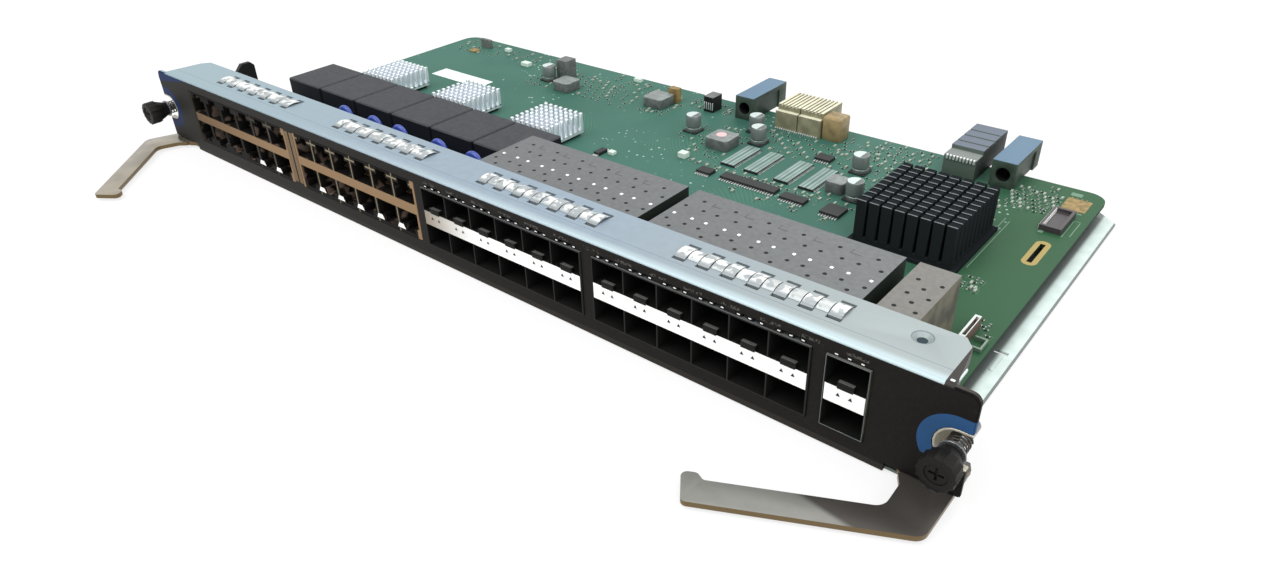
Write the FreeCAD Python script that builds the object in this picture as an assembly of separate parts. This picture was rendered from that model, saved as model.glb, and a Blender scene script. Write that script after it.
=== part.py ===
"""Switch line card: front panel with port blocks, main board, tray, ejector levers and captive screws.

Design frame while modelling, in millimetres: X runs along the front panel from its left end, Y runs
back from the panel's front face and Z up from the underside. On export the model moves so that its
origin is the centre of the tray's underside.
"""
import FreeCAD, Part
import math
import os

from FreeCAD import Vector

# ---------------------------------------------------------------- driving dimensions
# Front panel
PANEL_HEIGHT = 39.1
PANEL_SHEET = 1.2
PANEL_CORNER = 3.0
OVERLAY_SHEET = 0.3
OVERLAY_INSET = 0.4
LEFT_MARGIN = 30.3
RIGHT_MARGIN = 30.0
WINDOW_CLEARANCE = 0.3

# Top flange of the panel
FLANGE_DEPTH = 22.7
FLANGE_END_GAP = 7.5
FLANGE_END_SLANT = 2.6
FLANGE_END_CHAMFER = 4.0
FLANGE_TAB_DROP = 5.0
BEND_RADIUS = 1.8
FLANGE_HOLE_FROM_END = 23.2
FLANGE_HOLE_FROM_FRONT = 15.5
FLANGE_HOLE_RADIUS = 1.6
FLANGE_SINK_RADIUS = 3.1

# Port blocks
PORT_PITCH = 14.2
BLOCK_COLUMNS = 6
JACK_BLOCK_GAP = 7.0
JACK_CAGE_GAP = 4.8
CAGE_GAP = 5.1
UPLINK_GAP = 4.8

# Copper port blocks
JACK_BODY_HEIGHT = 26.5
JACK_BODY_DEPTH = 30.0
JACK_SHIELD = 0.4
JACK_BAND = 4.4
JACK_WIDTH = 11.9
JACK_HEIGHT = 7.4
LATCH_WIDTH = 6.2
LATCH_HEIGHT = 2.6
JACK_POCKET = 14.5

# Optical module cages
CAGE_HEIGHT = 26.1
CAGE_DEPTH = 62.5
CAGE_SHEET = 0.5
CAGE_PROUD = 0.8
SPACER_HEIGHT = 6.3
CELL_BACK_GAP = 3.5
LATCH_NUB_WIDTH = 5.2
LATCH_NUB_REACH = 1.7
LATCH_NUB_HEIGHT = 1.8
HOST_WIDTH = 10.5
HOST_DEPTH = 13.0
HOST_NOSE = 3.0

# Light pipes over the cages
LENS_WIDTH = 2.0
LENS_HEIGHT = 1.1
LENS_STEP = 4.1
LENS_LIFT = 0.3
LENS_CLEARANCE = 0.15
PIPE_BAR_Y = 10.0
PIPE_BAR_DEPTH = 2.5

# Tray and board
TRAY_SHEET = 1.0
TRAY_SIDE_GAP = 10.6
TRAY_DEPTH = 200.8
TRAY_CHAMFER_X = 8.5
TRAY_CHAMFER_Y = 7.3
TRAY_LIP_HEIGHT = 6.0
TRAY_LIP_INSET = 27.0
EAR_REACH = 8.6
EAR_DEPTH = 13.0
STANDOFF_HEIGHT = 4.9
STANDOFF_RADIUS = 3.0
TRAY_SLOT = (418.6, 423.4, 75.2, 76.9)
TRAY_RIB = (421.2, 422.6, 64.0, 73.5)
TRAY_RIB_HEIGHT = 0.4
BOARD_SHEET = 1.6
BOARD_LEFT = 10.9
BOARD_RIGHT_GAP = 17.3
BOARD_FRONT = 3.0
BOARD_REAR = 205.0
BOARD_CORNER = 8.0
BOARD_SLOT_FROM_RIGHT = 9.2
BOARD_SLOT_FROM_REAR = 58.0
BOARD_SLOT_SIZE = (2.0, 17.0)

# Ejector levers
LEVER_SHEET = 1.9
LEVER_LIFT = 0.1
LEVER_PIVOT_X = 12.0
LEVER_PIVOT_Y = 7.0
LEVER_HEAD_RADIUS = 9.3
LEVER_HEAD_SIDES = 36
LEVER_NOSE_RADIUS = 12.0
LEVER_PIN_RADIUS = 2.5
LEVER_PIN_CLEARANCE = 0.05
LEVER_PIN_HEAD_RADIUS = 4.2
LEVER_PIN_HEAD_HEIGHT = 1.2
LEVER_HEEL_X = 2.2
LEVER_CORNER_Y = -28.0
LEVER_LENGTH = 68.0
LEVER_ARM_WIDTH = 9.3
LEVER_NECK_WIDTH = 10.4
LEVER_HOOK_HEIGHT = 2.6
LEVER_HOOK_WIDTH = 5.0
LEVER_LEAN = 26.1
LEFT_LEVER_OPEN = 46.0
RIGHT_LEVER_OPEN = 26.1
LEVER_NOTCH_WIDTH = 22.8
LEVER_NOTCH_CLEARANCE = 0.4

# Captive screws
SCREW_FROM_END = 4.0
CUP_RADIUS = 6.5
CUP_WALL = 0.7
CUP_DEPTH = 5.5
CUP_FLANGE = 2.6
CUP_CLEARANCE = 0.2
CUP_BORE_CLEARANCE = 0.1
CUP_FLANGE_END = 1.6
KNOB_RADIUS = 5.7
KNOB_NECK_RADIUS = 3.2
KNOB_FRONT = -13.0
KNOB_BELT = -8.0
KNOB_REAR = -3.0
KNOB_FLUTES = 14
KNOB_FLUTE_DEPTH = 0.5
KNOB_RECESS_RADIUS = 3.4
KNOB_RECESS_DEPTH = 1.6
SHANK_RADIUS = 1.75
THREAD_RADIUS = 2.4
THREAD_LENGTH = 6.5
HEAD_CLEARANCE = 0.1
WASHER_THICKNESS = 0.6
WASHER_RADIUS = 4.2
WASHER_CLEARANCE = 0.05
SPRING_RADIUS = 3.0
SPRING_WIRE = 0.6
SPRING_TURNS = 5
SPRING_STEPS = 8

# Gasket strips on the flange
STRIP_CENTRES = (75.5, 173.0, 266.5, 361.2)
STRIP_SLOTS = 7
STRIP_SLOT_PITCH = 9.4
STRIP_SLOT_WIDTH = 5.0
STRIP_SLOT_DEPTH = 1.8
STRIP_FRONT_Y = 8.0
STRIP_REAR_Y = 17.0
STRIP_SHEET = 0.3
STRIP_RISE = 1.3
STRIP_SLIT = 0.5
STRIP_HOOK_DROP = 2.4

# Line transformers behind the copper ports
TRANSFORMER_COUNT = 6
TRANSFORMER_HEIGHT = 17.5
TRANSFORMER_FRONT = 55.0
TRANSFORMER_DEPTH = 29.2
TRANSFORMER_SEAM = 1.0
TRANSFORMER_SIDE_REACH = 0.9
TRANSFORMER_EDGE = 0.6
DISC_RADIUS = 6.0
DISC_THICKNESS = 3.2
DISC_FROM_TRANSFORMERS = 6.5
DISC_CENTRES = (90.0, 114.0, 134.0, 163.0, 187.0)

# Heat sinks and the chips under them
SMALL_SINK_SIZE = 26.0
SMALL_SINK_HEIGHT = 10.5
SMALL_SINK_PINS = 8
SMALL_SINK_PIN = 1.7
SMALL_SINK_CENTRES = (53.0, 113.8, 174.6)
SMALL_SINK_GAP = 11.3
SINK_BASE = 2.0
SMALL_CHIP_SIZE = 23.0
CHIP_HEIGHT = 1.5
LARGE_SINK_WIDTH = 41.0
LARGE_SINK_DEPTH = 42.5
LARGE_SINK_HEIGHT = 18.0
LARGE_SINK_CENTRE = (369.5, 125.0)
LARGE_SINK_COLUMNS = 8
LARGE_SINK_ROWS = 5
LARGE_SINK_PIN_WIDTH = 3.0
LARGE_SINK_PIN_DEPTH = 6.4
LARGE_CHIP_SIZE = 45.0

# Backplane side, from the board's rear edge
GUIDE_WIDTH = 11.0
GUIDE_HEIGHT = 12.5
GUIDE_FRONT = 18.5
GUIDE_REACH = 14.5
GUIDE_BORE = 3.2
GUIDE_POCKET_FRONT = 5.0
GUIDE_POCKET_DEPTH = 1.0
GUIDE_COLLAR = 7.0
GUIDE_ROOF = 2.5
GUIDE_LEFTS = (237.0, 373.0)
RECEPTACLE_LEFTS = (261.2, 274.4)
RECEPTACLE_WIDTH = 12.6
RECEPTACLE_HEIGHT = 12.5
RECEPTACLE_FRONT = 18.0
RECEPTACLE_REACH = 4.4
RECEPTACLE_GROOVES = 5
GROOVE_WIDTH = 0.8
GROOVE_DEPTH = 0.7
TAP_GAP = 0.4
TAP_WIDTH = 10.6
TAP_FRONT = 17.0
TAP_DEPTH = 10.0
TAP_HEIGHT = 12.0
HEADER_LEFT = 352.0
HEADER_WIDTH = 15.0
HEADER_FRONT = 21.0
HEADER_STEP = 8.0
HEADER_REACH = 17.0
HEADER_HEIGHT = 12.5
HEADER_STEP_HEIGHT = 10.5
HEADER_GROOVES = 3
HEADER_GROOVE_SIZE = (1.0, 0.6)

# Parts on the board: centre x, centre y
CAPACITOR_RADIUS = 4.0
CAPACITOR_HEIGHT = 9.0
CAPACITOR_FOOT = 8.4
CAPACITOR_FOOT_HEIGHT = 1.0
CAPACITOR_PLACES = ((256.5, 177.0), (265.3, 165.0), (229.8, 159.0), (321.2, 164.5), (332.0, 138.0), (115.0, 171.5))
INDUCTOR_HEIGHT = 5.5
INDUCTOR_EDGE = 1.2
INDUCTOR_PLACES = ((252.5, 152.0, 13.0), (322.0, 141.5, 9.0), (192.5, 177.5, 13.0), (134.0, 166.0, 12.0))
MEMORY_SIZE = (7.6, 24.0, 1.3)
MEMORY_PLACES = ((268.0, 145.5), (281.0, 145.5), (297.5, 145.0), (310.5, 145.0))
LOGIC_HEIGHT = 1.6
LOGIC_PLACES = (
    (264.0, 122.0, 7.5, 5.5), (287.5, 123.0, 29.0, 5.5), (311.5, 121.5, 12.0, 5.5), (331.0, 121.5, 9.0, 9.0),
    (301.5, 167.0, 8.0, 6.0), (209.5, 109.5, 3.4, 6.5),
)
BRACKET = (16.5, 19.0, 30.0, 43.0, 28.0)
BRACKET_FOOT = 7.0
BRACKET_SLOPE = 6.0
TEST_HEADER = (409.8, 61.5, 2.5, 15.0, 4.6)
LABEL = (48.0, 90.0, 137.5, 149.0)
LABEL_THICKNESS = 0.15
STANDOFF_PLACES = (
    (19.0, 46.0), (19.0, 120.0), (22.0, 193.0), (150.0, 140.0), (150.0, 193.0),
    (222.0, 95.0), (310.0, 193.0), (412.0, 100.0), (402.0, 193.0), (412.0, 30.0),
)
# Loose parts on the board: left, right, front, rear, height
GREY_PARTS = ((117.0, 125.0, 176.0, 184.5, 11.5), (218.0, 224.0, 184.5, 193.0, 8.5), (33.0, 42.0, 192.0, 194.0, 5.5))
GOLD_PARTS = ((194.0, 200.0, 184.5, 188.5, 8.0), (33.5, 39.5, 180.5, 185.5, 1.0))
PALE_PARTS = ((242.8, 247.2, 128.0, 132.0, 2.6), (157.5, 162.5, 198.5, 201.5, 2.0), (213.0, 216.5, 110.5, 113.5, 1.6),
              (53.5, 57.5, 193.5, 196.5, 2.0), (82.0, 88.0, 180.0, 184.0, 2.2))
EDGE_PART = (404.5, 413.5, 158.0, 178.0, 2.6)
EDGE_PART_WALL = 1.4
CLIP = (413.4, 418.0, 62.0, 69.0, 1.6)
CLIP_WALL = 0.8

# ---------------------------------------------------------------- sizes worked out from them
BLOCK_WIDTH = BLOCK_COLUMNS * PORT_PITCH
JACK_LEFTS = (LEFT_MARGIN, LEFT_MARGIN + BLOCK_WIDTH + JACK_BLOCK_GAP)
JACKS_RIGHT = JACK_LEFTS[1] + BLOCK_WIDTH
CAGE_LEFTS = (JACKS_RIGHT + JACK_CAGE_GAP, JACKS_RIGHT + JACK_CAGE_GAP + BLOCK_WIDTH + CAGE_GAP)
UPLINK_LEFT = CAGE_LEFTS[1] + BLOCK_WIDTH + UPLINK_GAP
TAP_LEFT = RECEPTACLE_LEFTS[1] + RECEPTACLE_WIDTH + TAP_GAP
PANEL_WIDTH = UPLINK_LEFT + PORT_PITCH + RIGHT_MARGIN
PANEL_MIDDLE = PANEL_WIDTH / 2
SCREW_Z = PANEL_HEIGHT / 2
BOARD_BOTTOM = TRAY_SHEET + STANDOFF_HEIGHT
BOARD_TOP = BOARD_BOTTOM + BOARD_SHEET
BOARD_RIGHT = PANEL_WIDTH - BOARD_RIGHT_GAP
TRAY_RIGHT = PANEL_WIDTH - TRAY_SIDE_GAP
TRAY_REAR = PANEL_SHEET + TRAY_DEPTH
LEVER_BOTTOM = TRAY_SHEET + LEVER_LIFT
LEVER_TOP = LEVER_BOTTOM + LEVER_SHEET
NOTCH_TOP = LEVER_TOP + LEVER_NOTCH_CLEARANCE
FLANGE_BOTTOM = PANEL_HEIGHT - PANEL_SHEET
CELL_DEPTH = CAGE_DEPTH - HOST_DEPTH - CELL_BACK_GAP
JACK_MIDDLE = BOARD_TOP + JACK_BODY_HEIGHT / 2 + 0.4
CAGE_TOP = BOARD_TOP + CAGE_HEIGHT
CAGE_MIDDLE = BOARD_TOP + CAGE_HEIGHT / 2
LENS_BOTTOM = CAGE_TOP + LENS_LIFT
ORIGIN = Vector(PANEL_MIDDLE, (PANEL_SHEET + TRAY_REAR) / 2, 0)


# ---------------------------------------------------------------- small helpers
def block(x_span, y_span, z_span):
    """Rectangular block between two corners given as spans."""
    size = [span[1] - span[0] for span in (x_span, y_span, z_span)]
    return Part.makeBox(*size, Vector(x_span[0], y_span[0], z_span[0]))


def centred_block(x, y, width, depth, z_span):
    """Upright block about a centre point."""
    return block((x - width / 2, x + width / 2), (y - depth / 2, y + depth / 2), z_span)


def rod(radius, start, along):
    """Cylinder from a start point along a vector."""
    return Part.makeCylinder(radius, along.Length, start, along)


def prism(points, along):
    """Closed polygon pushed along a vector."""
    ring = [Vector(*point) for point in points]
    return Part.Face(Part.makePolygon(ring + ring[:1])).extrude(along)


def rounded_rectangle(x_span, z_span, radius, y_span):
    """Plate in the panel's plane with four round corners."""
    plate = block(x_span, y_span, z_span)
    corners = [edge for edge in plate.Edges if abs(edge.tangentAt(edge.FirstParameter).y) > 0.9]
    return plate.makeFillet(radius, corners)


def polygon_points(radius, sides, turn=0.0):
    """Corners of a regular polygon about the origin, as (across, up) pairs."""
    angles = [turn + 2 * math.pi * index / sides for index in range(sides)]
    return [(radius * math.cos(angle), radius * math.sin(angle)) for angle in angles]


def standing_polygon(x, y, radius, sides, z_span):
    """Upright prism with a regular polygon outline."""
    ring = [(x + across, y + up, z_span[0]) for across, up in polygon_points(radius, sides, math.pi / sides)]
    return prism(ring, Vector(0, 0, z_span[1] - z_span[0]))


def facing_wire(x, z, radius, sides, y):
    """Polygon wire in a plane parallel to the panel."""
    ring = [Vector(x + across, y, z + up) for across, up in polygon_points(radius, sides)]
    return Part.makePolygon(ring + ring[:1])


def faceted(x, z, profile, sides):
    """Many-sided turned piece along Y from (radius, y) steps."""
    bands = []
    for (radius, y), (next_radius, next_y) in zip(profile, profile[1:]):
        if next_y > y:
            wires = [facing_wire(x, z, radius, sides, y), facing_wire(x, z, next_radius, sides, next_y)]
            bands.append(Part.makeLoft(wires, True, True))
    return joined(bands)


def softened(shape, size):
    """Chamfer the upright edges and the top edges of a block."""
    top = shape.BoundBox.ZMax
    bottom = shape.BoundBox.ZMin
    edges = [edge for edge in shape.Edges if edge.BoundBox.ZMax > top - 1e-6 or edge.BoundBox.ZMin > bottom + 1e-6]
    return shape.makeChamfer(size, edges)


def joined(shapes):
    """One solid from pieces that overlap or touch."""
    shapes = list(shapes)
    return shapes[0].fuse(shapes[1:]).removeSplitter() if len(shapes) > 1 else shapes[0]


def without(shape, tools):
    """A solid with every tool cut away."""
    tools = list(tools)
    return shape.cut(tools) if tools else shape


def mirrored(shape):
    """The same shape at the other end of the panel."""
    return shape.mirror(Vector(PANEL_MIDDLE, 0, 0), Vector(1, 0, 0))


def column_lefts(block_left, columns=BLOCK_COLUMNS):
    """Left side of each column of ports."""
    return [block_left + index * PORT_PITCH for index in range(columns)]


def both_ends(shape):
    """A shape at the left end with its twin at the right end."""
    return [shape, mirrored(shape)]


# ---------------------------------------------------------------- front panel
def port_windows(y_span, clearance):
    """Cutting tools for the five port blocks."""
    tools = []
    for left in JACK_LEFTS:
        spans = (left - clearance, left + BLOCK_WIDTH + clearance)
        tools.append(block(spans, y_span, (BOARD_TOP - clearance, BOARD_TOP + JACK_BODY_HEIGHT + clearance)))
    for left, width in cage_blocks():
        spans = (left - clearance, left + width + clearance)
        tools.append(block(spans, y_span, (BOARD_TOP - clearance, CAGE_TOP + clearance)))
    return tools


def cage_blocks():
    """Left side and width of the three module cages."""
    return [(CAGE_LEFTS[0], BLOCK_WIDTH), (CAGE_LEFTS[1], BLOCK_WIDTH), (UPLINK_LEFT, PORT_PITCH)]


def lens_centres():
    """Centre of each light pipe lens along the panel, by cage."""
    return [
        [left + PORT_PITCH / 2 + step * LENS_STEP for left in column_lefts(block_left) for step in (-1, 0, 1)]
        for block_left in CAGE_LEFTS
    ]


def screw_slot(radius, y_span):
    """U-shaped slot for a captive screw, open at the panel's left end."""
    centre = Vector(SCREW_FROM_END, y_span[0], SCREW_Z)
    reach = y_span[1] - y_span[0]
    round_part = rod(radius, centre, Vector(0, reach, 0))
    open_part = block((-radius, SCREW_FROM_END), y_span, (SCREW_Z - radius, SCREW_Z + radius))
    return joined([round_part, open_part])


def lever_notch(y_span):
    """Notch in the lower edge where the left lever comes out."""
    return block((-1, LEVER_NOTCH_WIDTH), y_span, (-1, NOTCH_TOP))


def strip_slots(centre, z_span):
    """Two rows of slots that hold one gasket strip."""
    slots = []
    for index in range(STRIP_SLOTS):
        middle = centre + (index - (STRIP_SLOTS - 1) / 2) * STRIP_SLOT_PITCH
        for front in (STRIP_FRONT_Y, STRIP_REAR_Y):
            x_span = (middle - STRIP_SLOT_WIDTH / 2, middle + STRIP_SLOT_WIDTH / 2)
            slots.append(block(x_span, (front, front + STRIP_SLOT_DEPTH), z_span))
    return slots


def flange_shape():
    """Top flange with its front bend, end tabs, slots and sunk hole."""
    top = PANEL_HEIGHT
    inner = BEND_RADIUS - PANEL_SHEET
    lower = top - BEND_RADIUS
    turn = math.sqrt(0.5)
    outer_mid = Vector(0, BEND_RADIUS * (1 - turn), lower + BEND_RADIUS * turn)
    inner_mid = Vector(0, BEND_RADIUS - inner * turn, lower + inner * turn)
    outline = [
        Part.Arc(Vector(0, 0, lower), outer_mid, Vector(0, BEND_RADIUS, top)).toShape(),
        Part.makeLine(Vector(0, BEND_RADIUS, top), Vector(0, FLANGE_DEPTH, top)),
        Part.makeLine(Vector(0, FLANGE_DEPTH, top), Vector(0, FLANGE_DEPTH, FLANGE_BOTTOM)),
        Part.makeLine(Vector(0, FLANGE_DEPTH, FLANGE_BOTTOM), Vector(0, BEND_RADIUS, FLANGE_BOTTOM)),
        Part.Arc(Vector(0, BEND_RADIUS, FLANGE_BOTTOM), inner_mid, Vector(0, PANEL_SHEET, lower)).toShape(),
        Part.makeLine(Vector(0, PANEL_SHEET, lower), Vector(0, 0, lower)),
    ]
    face = Part.Face(Part.Wire(outline))
    face.translate(Vector(FLANGE_END_GAP, 0, 0))
    sheet = face.extrude(Vector(PANEL_WIDTH - 2 * FLANGE_END_GAP, 0, 0))
    slant_end = FLANGE_END_GAP + FLANGE_END_SLANT
    outside = prism(
        [(FLANGE_END_GAP - 1, BEND_RADIUS, FLANGE_BOTTOM - 1), (FLANGE_END_GAP, BEND_RADIUS, FLANGE_BOTTOM - 1),
         (slant_end, FLANGE_DEPTH - FLANGE_END_CHAMFER, FLANGE_BOTTOM - 1),
         (slant_end + FLANGE_END_CHAMFER, FLANGE_DEPTH + 1, FLANGE_BOTTOM - 1),
         (FLANGE_END_GAP - 1, FLANGE_DEPTH + 1, FLANGE_BOTTOM - 1)],
        Vector(0, 0, PANEL_SHEET + 2))
    sheet = without(sheet, both_ends(outside))
    tab = prism(
        [(FLANGE_END_GAP + 0.5, BEND_RADIUS + 1.5, top - FLANGE_TAB_DROP),
         (slant_end, FLANGE_DEPTH - FLANGE_END_CHAMFER, top - FLANGE_TAB_DROP),
         (slant_end + PANEL_SHEET, FLANGE_DEPTH - FLANGE_END_CHAMFER, top - FLANGE_TAB_DROP),
         (FLANGE_END_GAP + 0.5 + PANEL_SHEET, BEND_RADIUS + 1.5, top - FLANGE_TAB_DROP)],
        Vector(0, 0, FLANGE_TAB_DROP - PANEL_SHEET / 2))
    sheet = joined([sheet] + both_ends(tab))
    hole_x = PANEL_WIDTH - FLANGE_HOLE_FROM_END
    hole = Part.makeCone(
        FLANGE_HOLE_RADIUS, FLANGE_SINK_RADIUS, PANEL_SHEET,
        Vector(hole_x, FLANGE_HOLE_FROM_FRONT, FLANGE_BOTTOM), Vector(0, 0, 1))
    slots = [slot for centre in STRIP_CENTRES for slot in strip_slots(centre, (FLANGE_BOTTOM - 1, top + 1))]
    return without(sheet, slots + [hole])


def front_panel():
    """Folded steel panel."""
    plate = rounded_rectangle((0, PANEL_WIDTH), (0, PANEL_HEIGHT), PANEL_CORNER, (0, PANEL_SHEET))
    corner_room = block(
        (FLANGE_END_GAP, PANEL_WIDTH - FLANGE_END_GAP), (-1, PANEL_SHEET + 1),
        (PANEL_HEIGHT - BEND_RADIUS, PANEL_HEIGHT + 1))
    through = (-1, PANEL_SHEET + 1)
    tools = [corner_room] + port_windows(through, WINDOW_CLEARANCE)
    tools += both_ends(screw_slot(CUP_RADIUS + CUP_CLEARANCE, through)) + both_ends(lever_notch(through))
    tools += lens_windows(through)
    return joined([without(plate, tools), flange_shape()])


def lens_windows(y_span):
    """One window a column for its three light pipe lenses."""
    tools = []
    z_span = (LENS_BOTTOM - LENS_CLEARANCE, LENS_BOTTOM + LENS_HEIGHT + LENS_CLEARANCE)
    side = LENS_WIDTH / 2 + LENS_CLEARANCE
    for centres in lens_centres():
        tools += [block((first - side, last + side), y_span, z_span) for first, last in zip(centres[::3], centres[2::3])]
    return tools


def panel_overlay():
    """Printed plastic sheet on the panel's face."""
    y_span = (-OVERLAY_SHEET, 0)
    plate = rounded_rectangle(
        (OVERLAY_INSET, PANEL_WIDTH - OVERLAY_INSET), (OVERLAY_INSET, PANEL_HEIGHT - BEND_RADIUS / 2),
        PANEL_CORNER, y_span)
    through = (-1, 1)
    tools = port_windows(through, WINDOW_CLEARANCE) + lens_windows(through)
    tools += both_ends(screw_slot(CUP_RADIUS + CUP_CLEARANCE, through))
    tools += both_ends(lever_notch(through))
    return without(plate, tools)


def gasket_strip(centre):
    """Bowed spring strip hooked into the flange's slots."""
    top = PANEL_HEIGHT
    front = STRIP_FRONT_Y + (STRIP_SLOT_DEPTH - STRIP_SHEET) / 2
    rear = STRIP_REAR_Y + (STRIP_SLOT_DEPTH + STRIP_SHEET) / 2
    quarter = (rear - front) / 4
    sheet = STRIP_SHEET
    length = STRIP_SLOTS * STRIP_SLOT_PITCH - STRIP_SLIT
    left = centre - length / 2
    profile = [
        (left, front, top), (left, front, top + sheet), (left, front + quarter, top + STRIP_RISE),
        (left, rear - quarter, top + STRIP_RISE), (left, rear, top + sheet), (left, rear, top),
        (left, rear - quarter, top + STRIP_RISE - sheet), (left, front + quarter, top + STRIP_RISE - sheet),
    ]
    bow = prism(profile, Vector(length, 0, 0))
    hooks = []
    half = STRIP_SLOT_WIDTH / 2 - STRIP_SLIT
    for index in range(STRIP_SLOTS):
        middle = centre + (index - (STRIP_SLOTS - 1) / 2) * STRIP_SLOT_PITCH
        for y_span in ((front, front + sheet), (rear - sheet, rear)):
            hooks.append(block((middle - half, middle + half), y_span, (top - STRIP_HOOK_DROP, top + sheet / 2)))
    return joined([bow] + hooks)


# ---------------------------------------------------------------- copper port blocks
def jack_profile(centre_x, y_span, latch_up, grow=0.0):
    """Opening of one jack: plug space with its latch keyway."""
    sign = 1 if latch_up else -1
    inner = JACK_MIDDLE + sign * JACK_BAND / 2
    shoulder = inner + sign * JACK_HEIGHT
    tip = shoulder + sign * LATCH_HEIGHT
    half, key = JACK_WIDTH / 2 + grow, LATCH_WIDTH / 2 + grow
    y = y_span[0]
    outline = [
        (centre_x - half, y, inner - sign * grow), (centre_x + half, y, inner - sign * grow),
        (centre_x + half, y, shoulder + sign * grow), (centre_x + key, y, shoulder + sign * grow),
        (centre_x + key, y, tip + sign * grow), (centre_x - key, y, tip + sign * grow),
        (centre_x - key, y, shoulder + sign * grow), (centre_x - half, y, shoulder + sign * grow),
    ]
    return prism(outline, Vector(0, y_span[1] - y, 0))


def jack_centres(left):
    """Centre of each jack and whether its latch is up."""
    return [(x + PORT_PITCH / 2, up) for x in column_lefts(left) for up in (True, False)]


def jack_shield(left):
    """Stamped metal shield, open underneath."""
    sheet = JACK_SHIELD
    right = left + BLOCK_WIDTH
    top = BOARD_TOP + JACK_BODY_HEIGHT
    outer = block((left, right), (-OVERLAY_SHEET, JACK_BODY_DEPTH), (BOARD_TOP, top))
    inner = block((left + sheet, right - sheet), (sheet - OVERLAY_SHEET, JACK_BODY_DEPTH - sheet),
                  (BOARD_TOP - 1, top - sheet))
    openings = [jack_profile(x, (-1, sheet), up) for x, up in jack_centres(left)]
    return without(outer, [inner] + openings)


def jack_housing(left):
    """Moulded body: a solid back, then walls, shoulders and a band round each plug space."""
    sheet = JACK_SHIELD
    front = sheet - OVERLAY_SHEET
    pocket_end = front + JACK_POCKET
    x_span = (left + sheet, left + BLOCK_WIDTH - sheet)
    y_span = (front, pocket_end)
    top = BOARD_TOP + JACK_BODY_HEIGHT - sheet
    reach = JACK_BAND / 2 + JACK_HEIGHT
    pieces = [
        block(x_span, (pocket_end, JACK_BODY_DEPTH - sheet), (BOARD_TOP, top)),
        block(x_span, y_span, (JACK_MIDDLE - JACK_BAND / 2, JACK_MIDDLE + JACK_BAND / 2)),
        block(x_span, y_span, (JACK_MIDDLE + reach + LATCH_HEIGHT, top)),
        block(x_span, y_span, (BOARD_TOP, JACK_MIDDLE - reach - LATCH_HEIGHT)),
    ]
    rows = (
        ((JACK_MIDDLE + JACK_BAND / 2, JACK_MIDDLE + reach), (JACK_MIDDLE + reach, JACK_MIDDLE + reach + LATCH_HEIGHT)),
        ((JACK_MIDDLE - reach, JACK_MIDDLE - JACK_BAND / 2), (JACK_MIDDLE - reach - LATCH_HEIGHT, JACK_MIDDLE - reach)),
    )
    for wall_z, shoulder_z in rows:
        pieces += [block(span, y_span, wall_z) for span in spans_between(left, JACK_WIDTH, x_span)]
        pieces += [block(span, y_span, shoulder_z) for span in spans_between(left, LATCH_WIDTH, x_span)]
    return pieces


def spans_between(left, opening, x_span):
    """Spans of material left between openings of one width, one opening a column."""
    middles = [x + PORT_PITCH / 2 for x in column_lefts(left)]
    starts = [x_span[0]] + [middle + opening / 2 for middle in middles]
    ends = [middle - opening / 2 for middle in middles] + [x_span[1]]
    return list(zip(starts, ends))


# ---------------------------------------------------------------- optical module cages
def spacer_span():
    """Height span of the band between the two rows."""
    return (CAGE_MIDDLE - SPACER_HEIGHT / 2, CAGE_MIDDLE + SPACER_HEIGHT / 2)


def module_cage(left, width):
    """Sheet cage: roof, floor, sides, back and the divider plates of both rows."""
    sheet = CAGE_SHEET
    right = left + width
    rear = CAGE_DEPTH - sheet
    y_span = (-CAGE_PROUD, CAGE_DEPTH)
    inner_z = (BOARD_TOP + sheet, CAGE_TOP - sheet)
    plates = [
        block((left, right), y_span, (CAGE_TOP - sheet, CAGE_TOP)),
        block((left, right), y_span, (BOARD_TOP, BOARD_TOP + sheet)),
        block((left, left + sheet), y_span, inner_z),
        block((right - sheet, right), y_span, inner_z),
        block((left + sheet, right - sheet), (rear, CAGE_DEPTH), inner_z),
    ]
    low, high = spacer_span()
    for x in column_lefts(left, round(width / PORT_PITCH))[1:]:
        for z_span in ((BOARD_TOP + sheet, low), (high, CAGE_TOP - sheet)):
            plates.append(block((x - sheet / 2, x + sheet / 2), (-CAGE_PROUD, CELL_DEPTH), z_span))
    return plates


def cage_spacer(left, width):
    """Channel between the rows, with a latch nub over each lower port."""
    sheet = CAGE_SHEET
    low, high = spacer_span()
    x_span = (left + sheet, left + width - sheet)
    outer = block(x_span, (-CAGE_PROUD, CELL_DEPTH), (low, high))
    inner = block(x_span, (-CAGE_PROUD + sheet, CELL_DEPTH + 1), (low + sheet, high - sheet))
    channel = without(outer, [inner])
    nubs = []
    front = -CAGE_PROUD
    for x in column_lefts(left, round(width / PORT_PITCH)):
        nub_left = x + (PORT_PITCH - LATCH_NUB_WIDTH) / 2
        outline = [
            (nub_left, front, high - sheet), (nub_left, front - LATCH_NUB_REACH, high - sheet / 2),
            (nub_left, front - LATCH_NUB_REACH, high + LATCH_NUB_HEIGHT * 0.7),
            (nub_left, front, high + LATCH_NUB_HEIGHT), (nub_left, front + 3 * sheet, high + LATCH_NUB_HEIGHT),
            (nub_left, front + 3 * sheet, high), (nub_left, front, high),
        ]
        nubs.append(prism(outline, Vector(LATCH_NUB_WIDTH, 0, 0)))
    return [channel] + nubs


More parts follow.
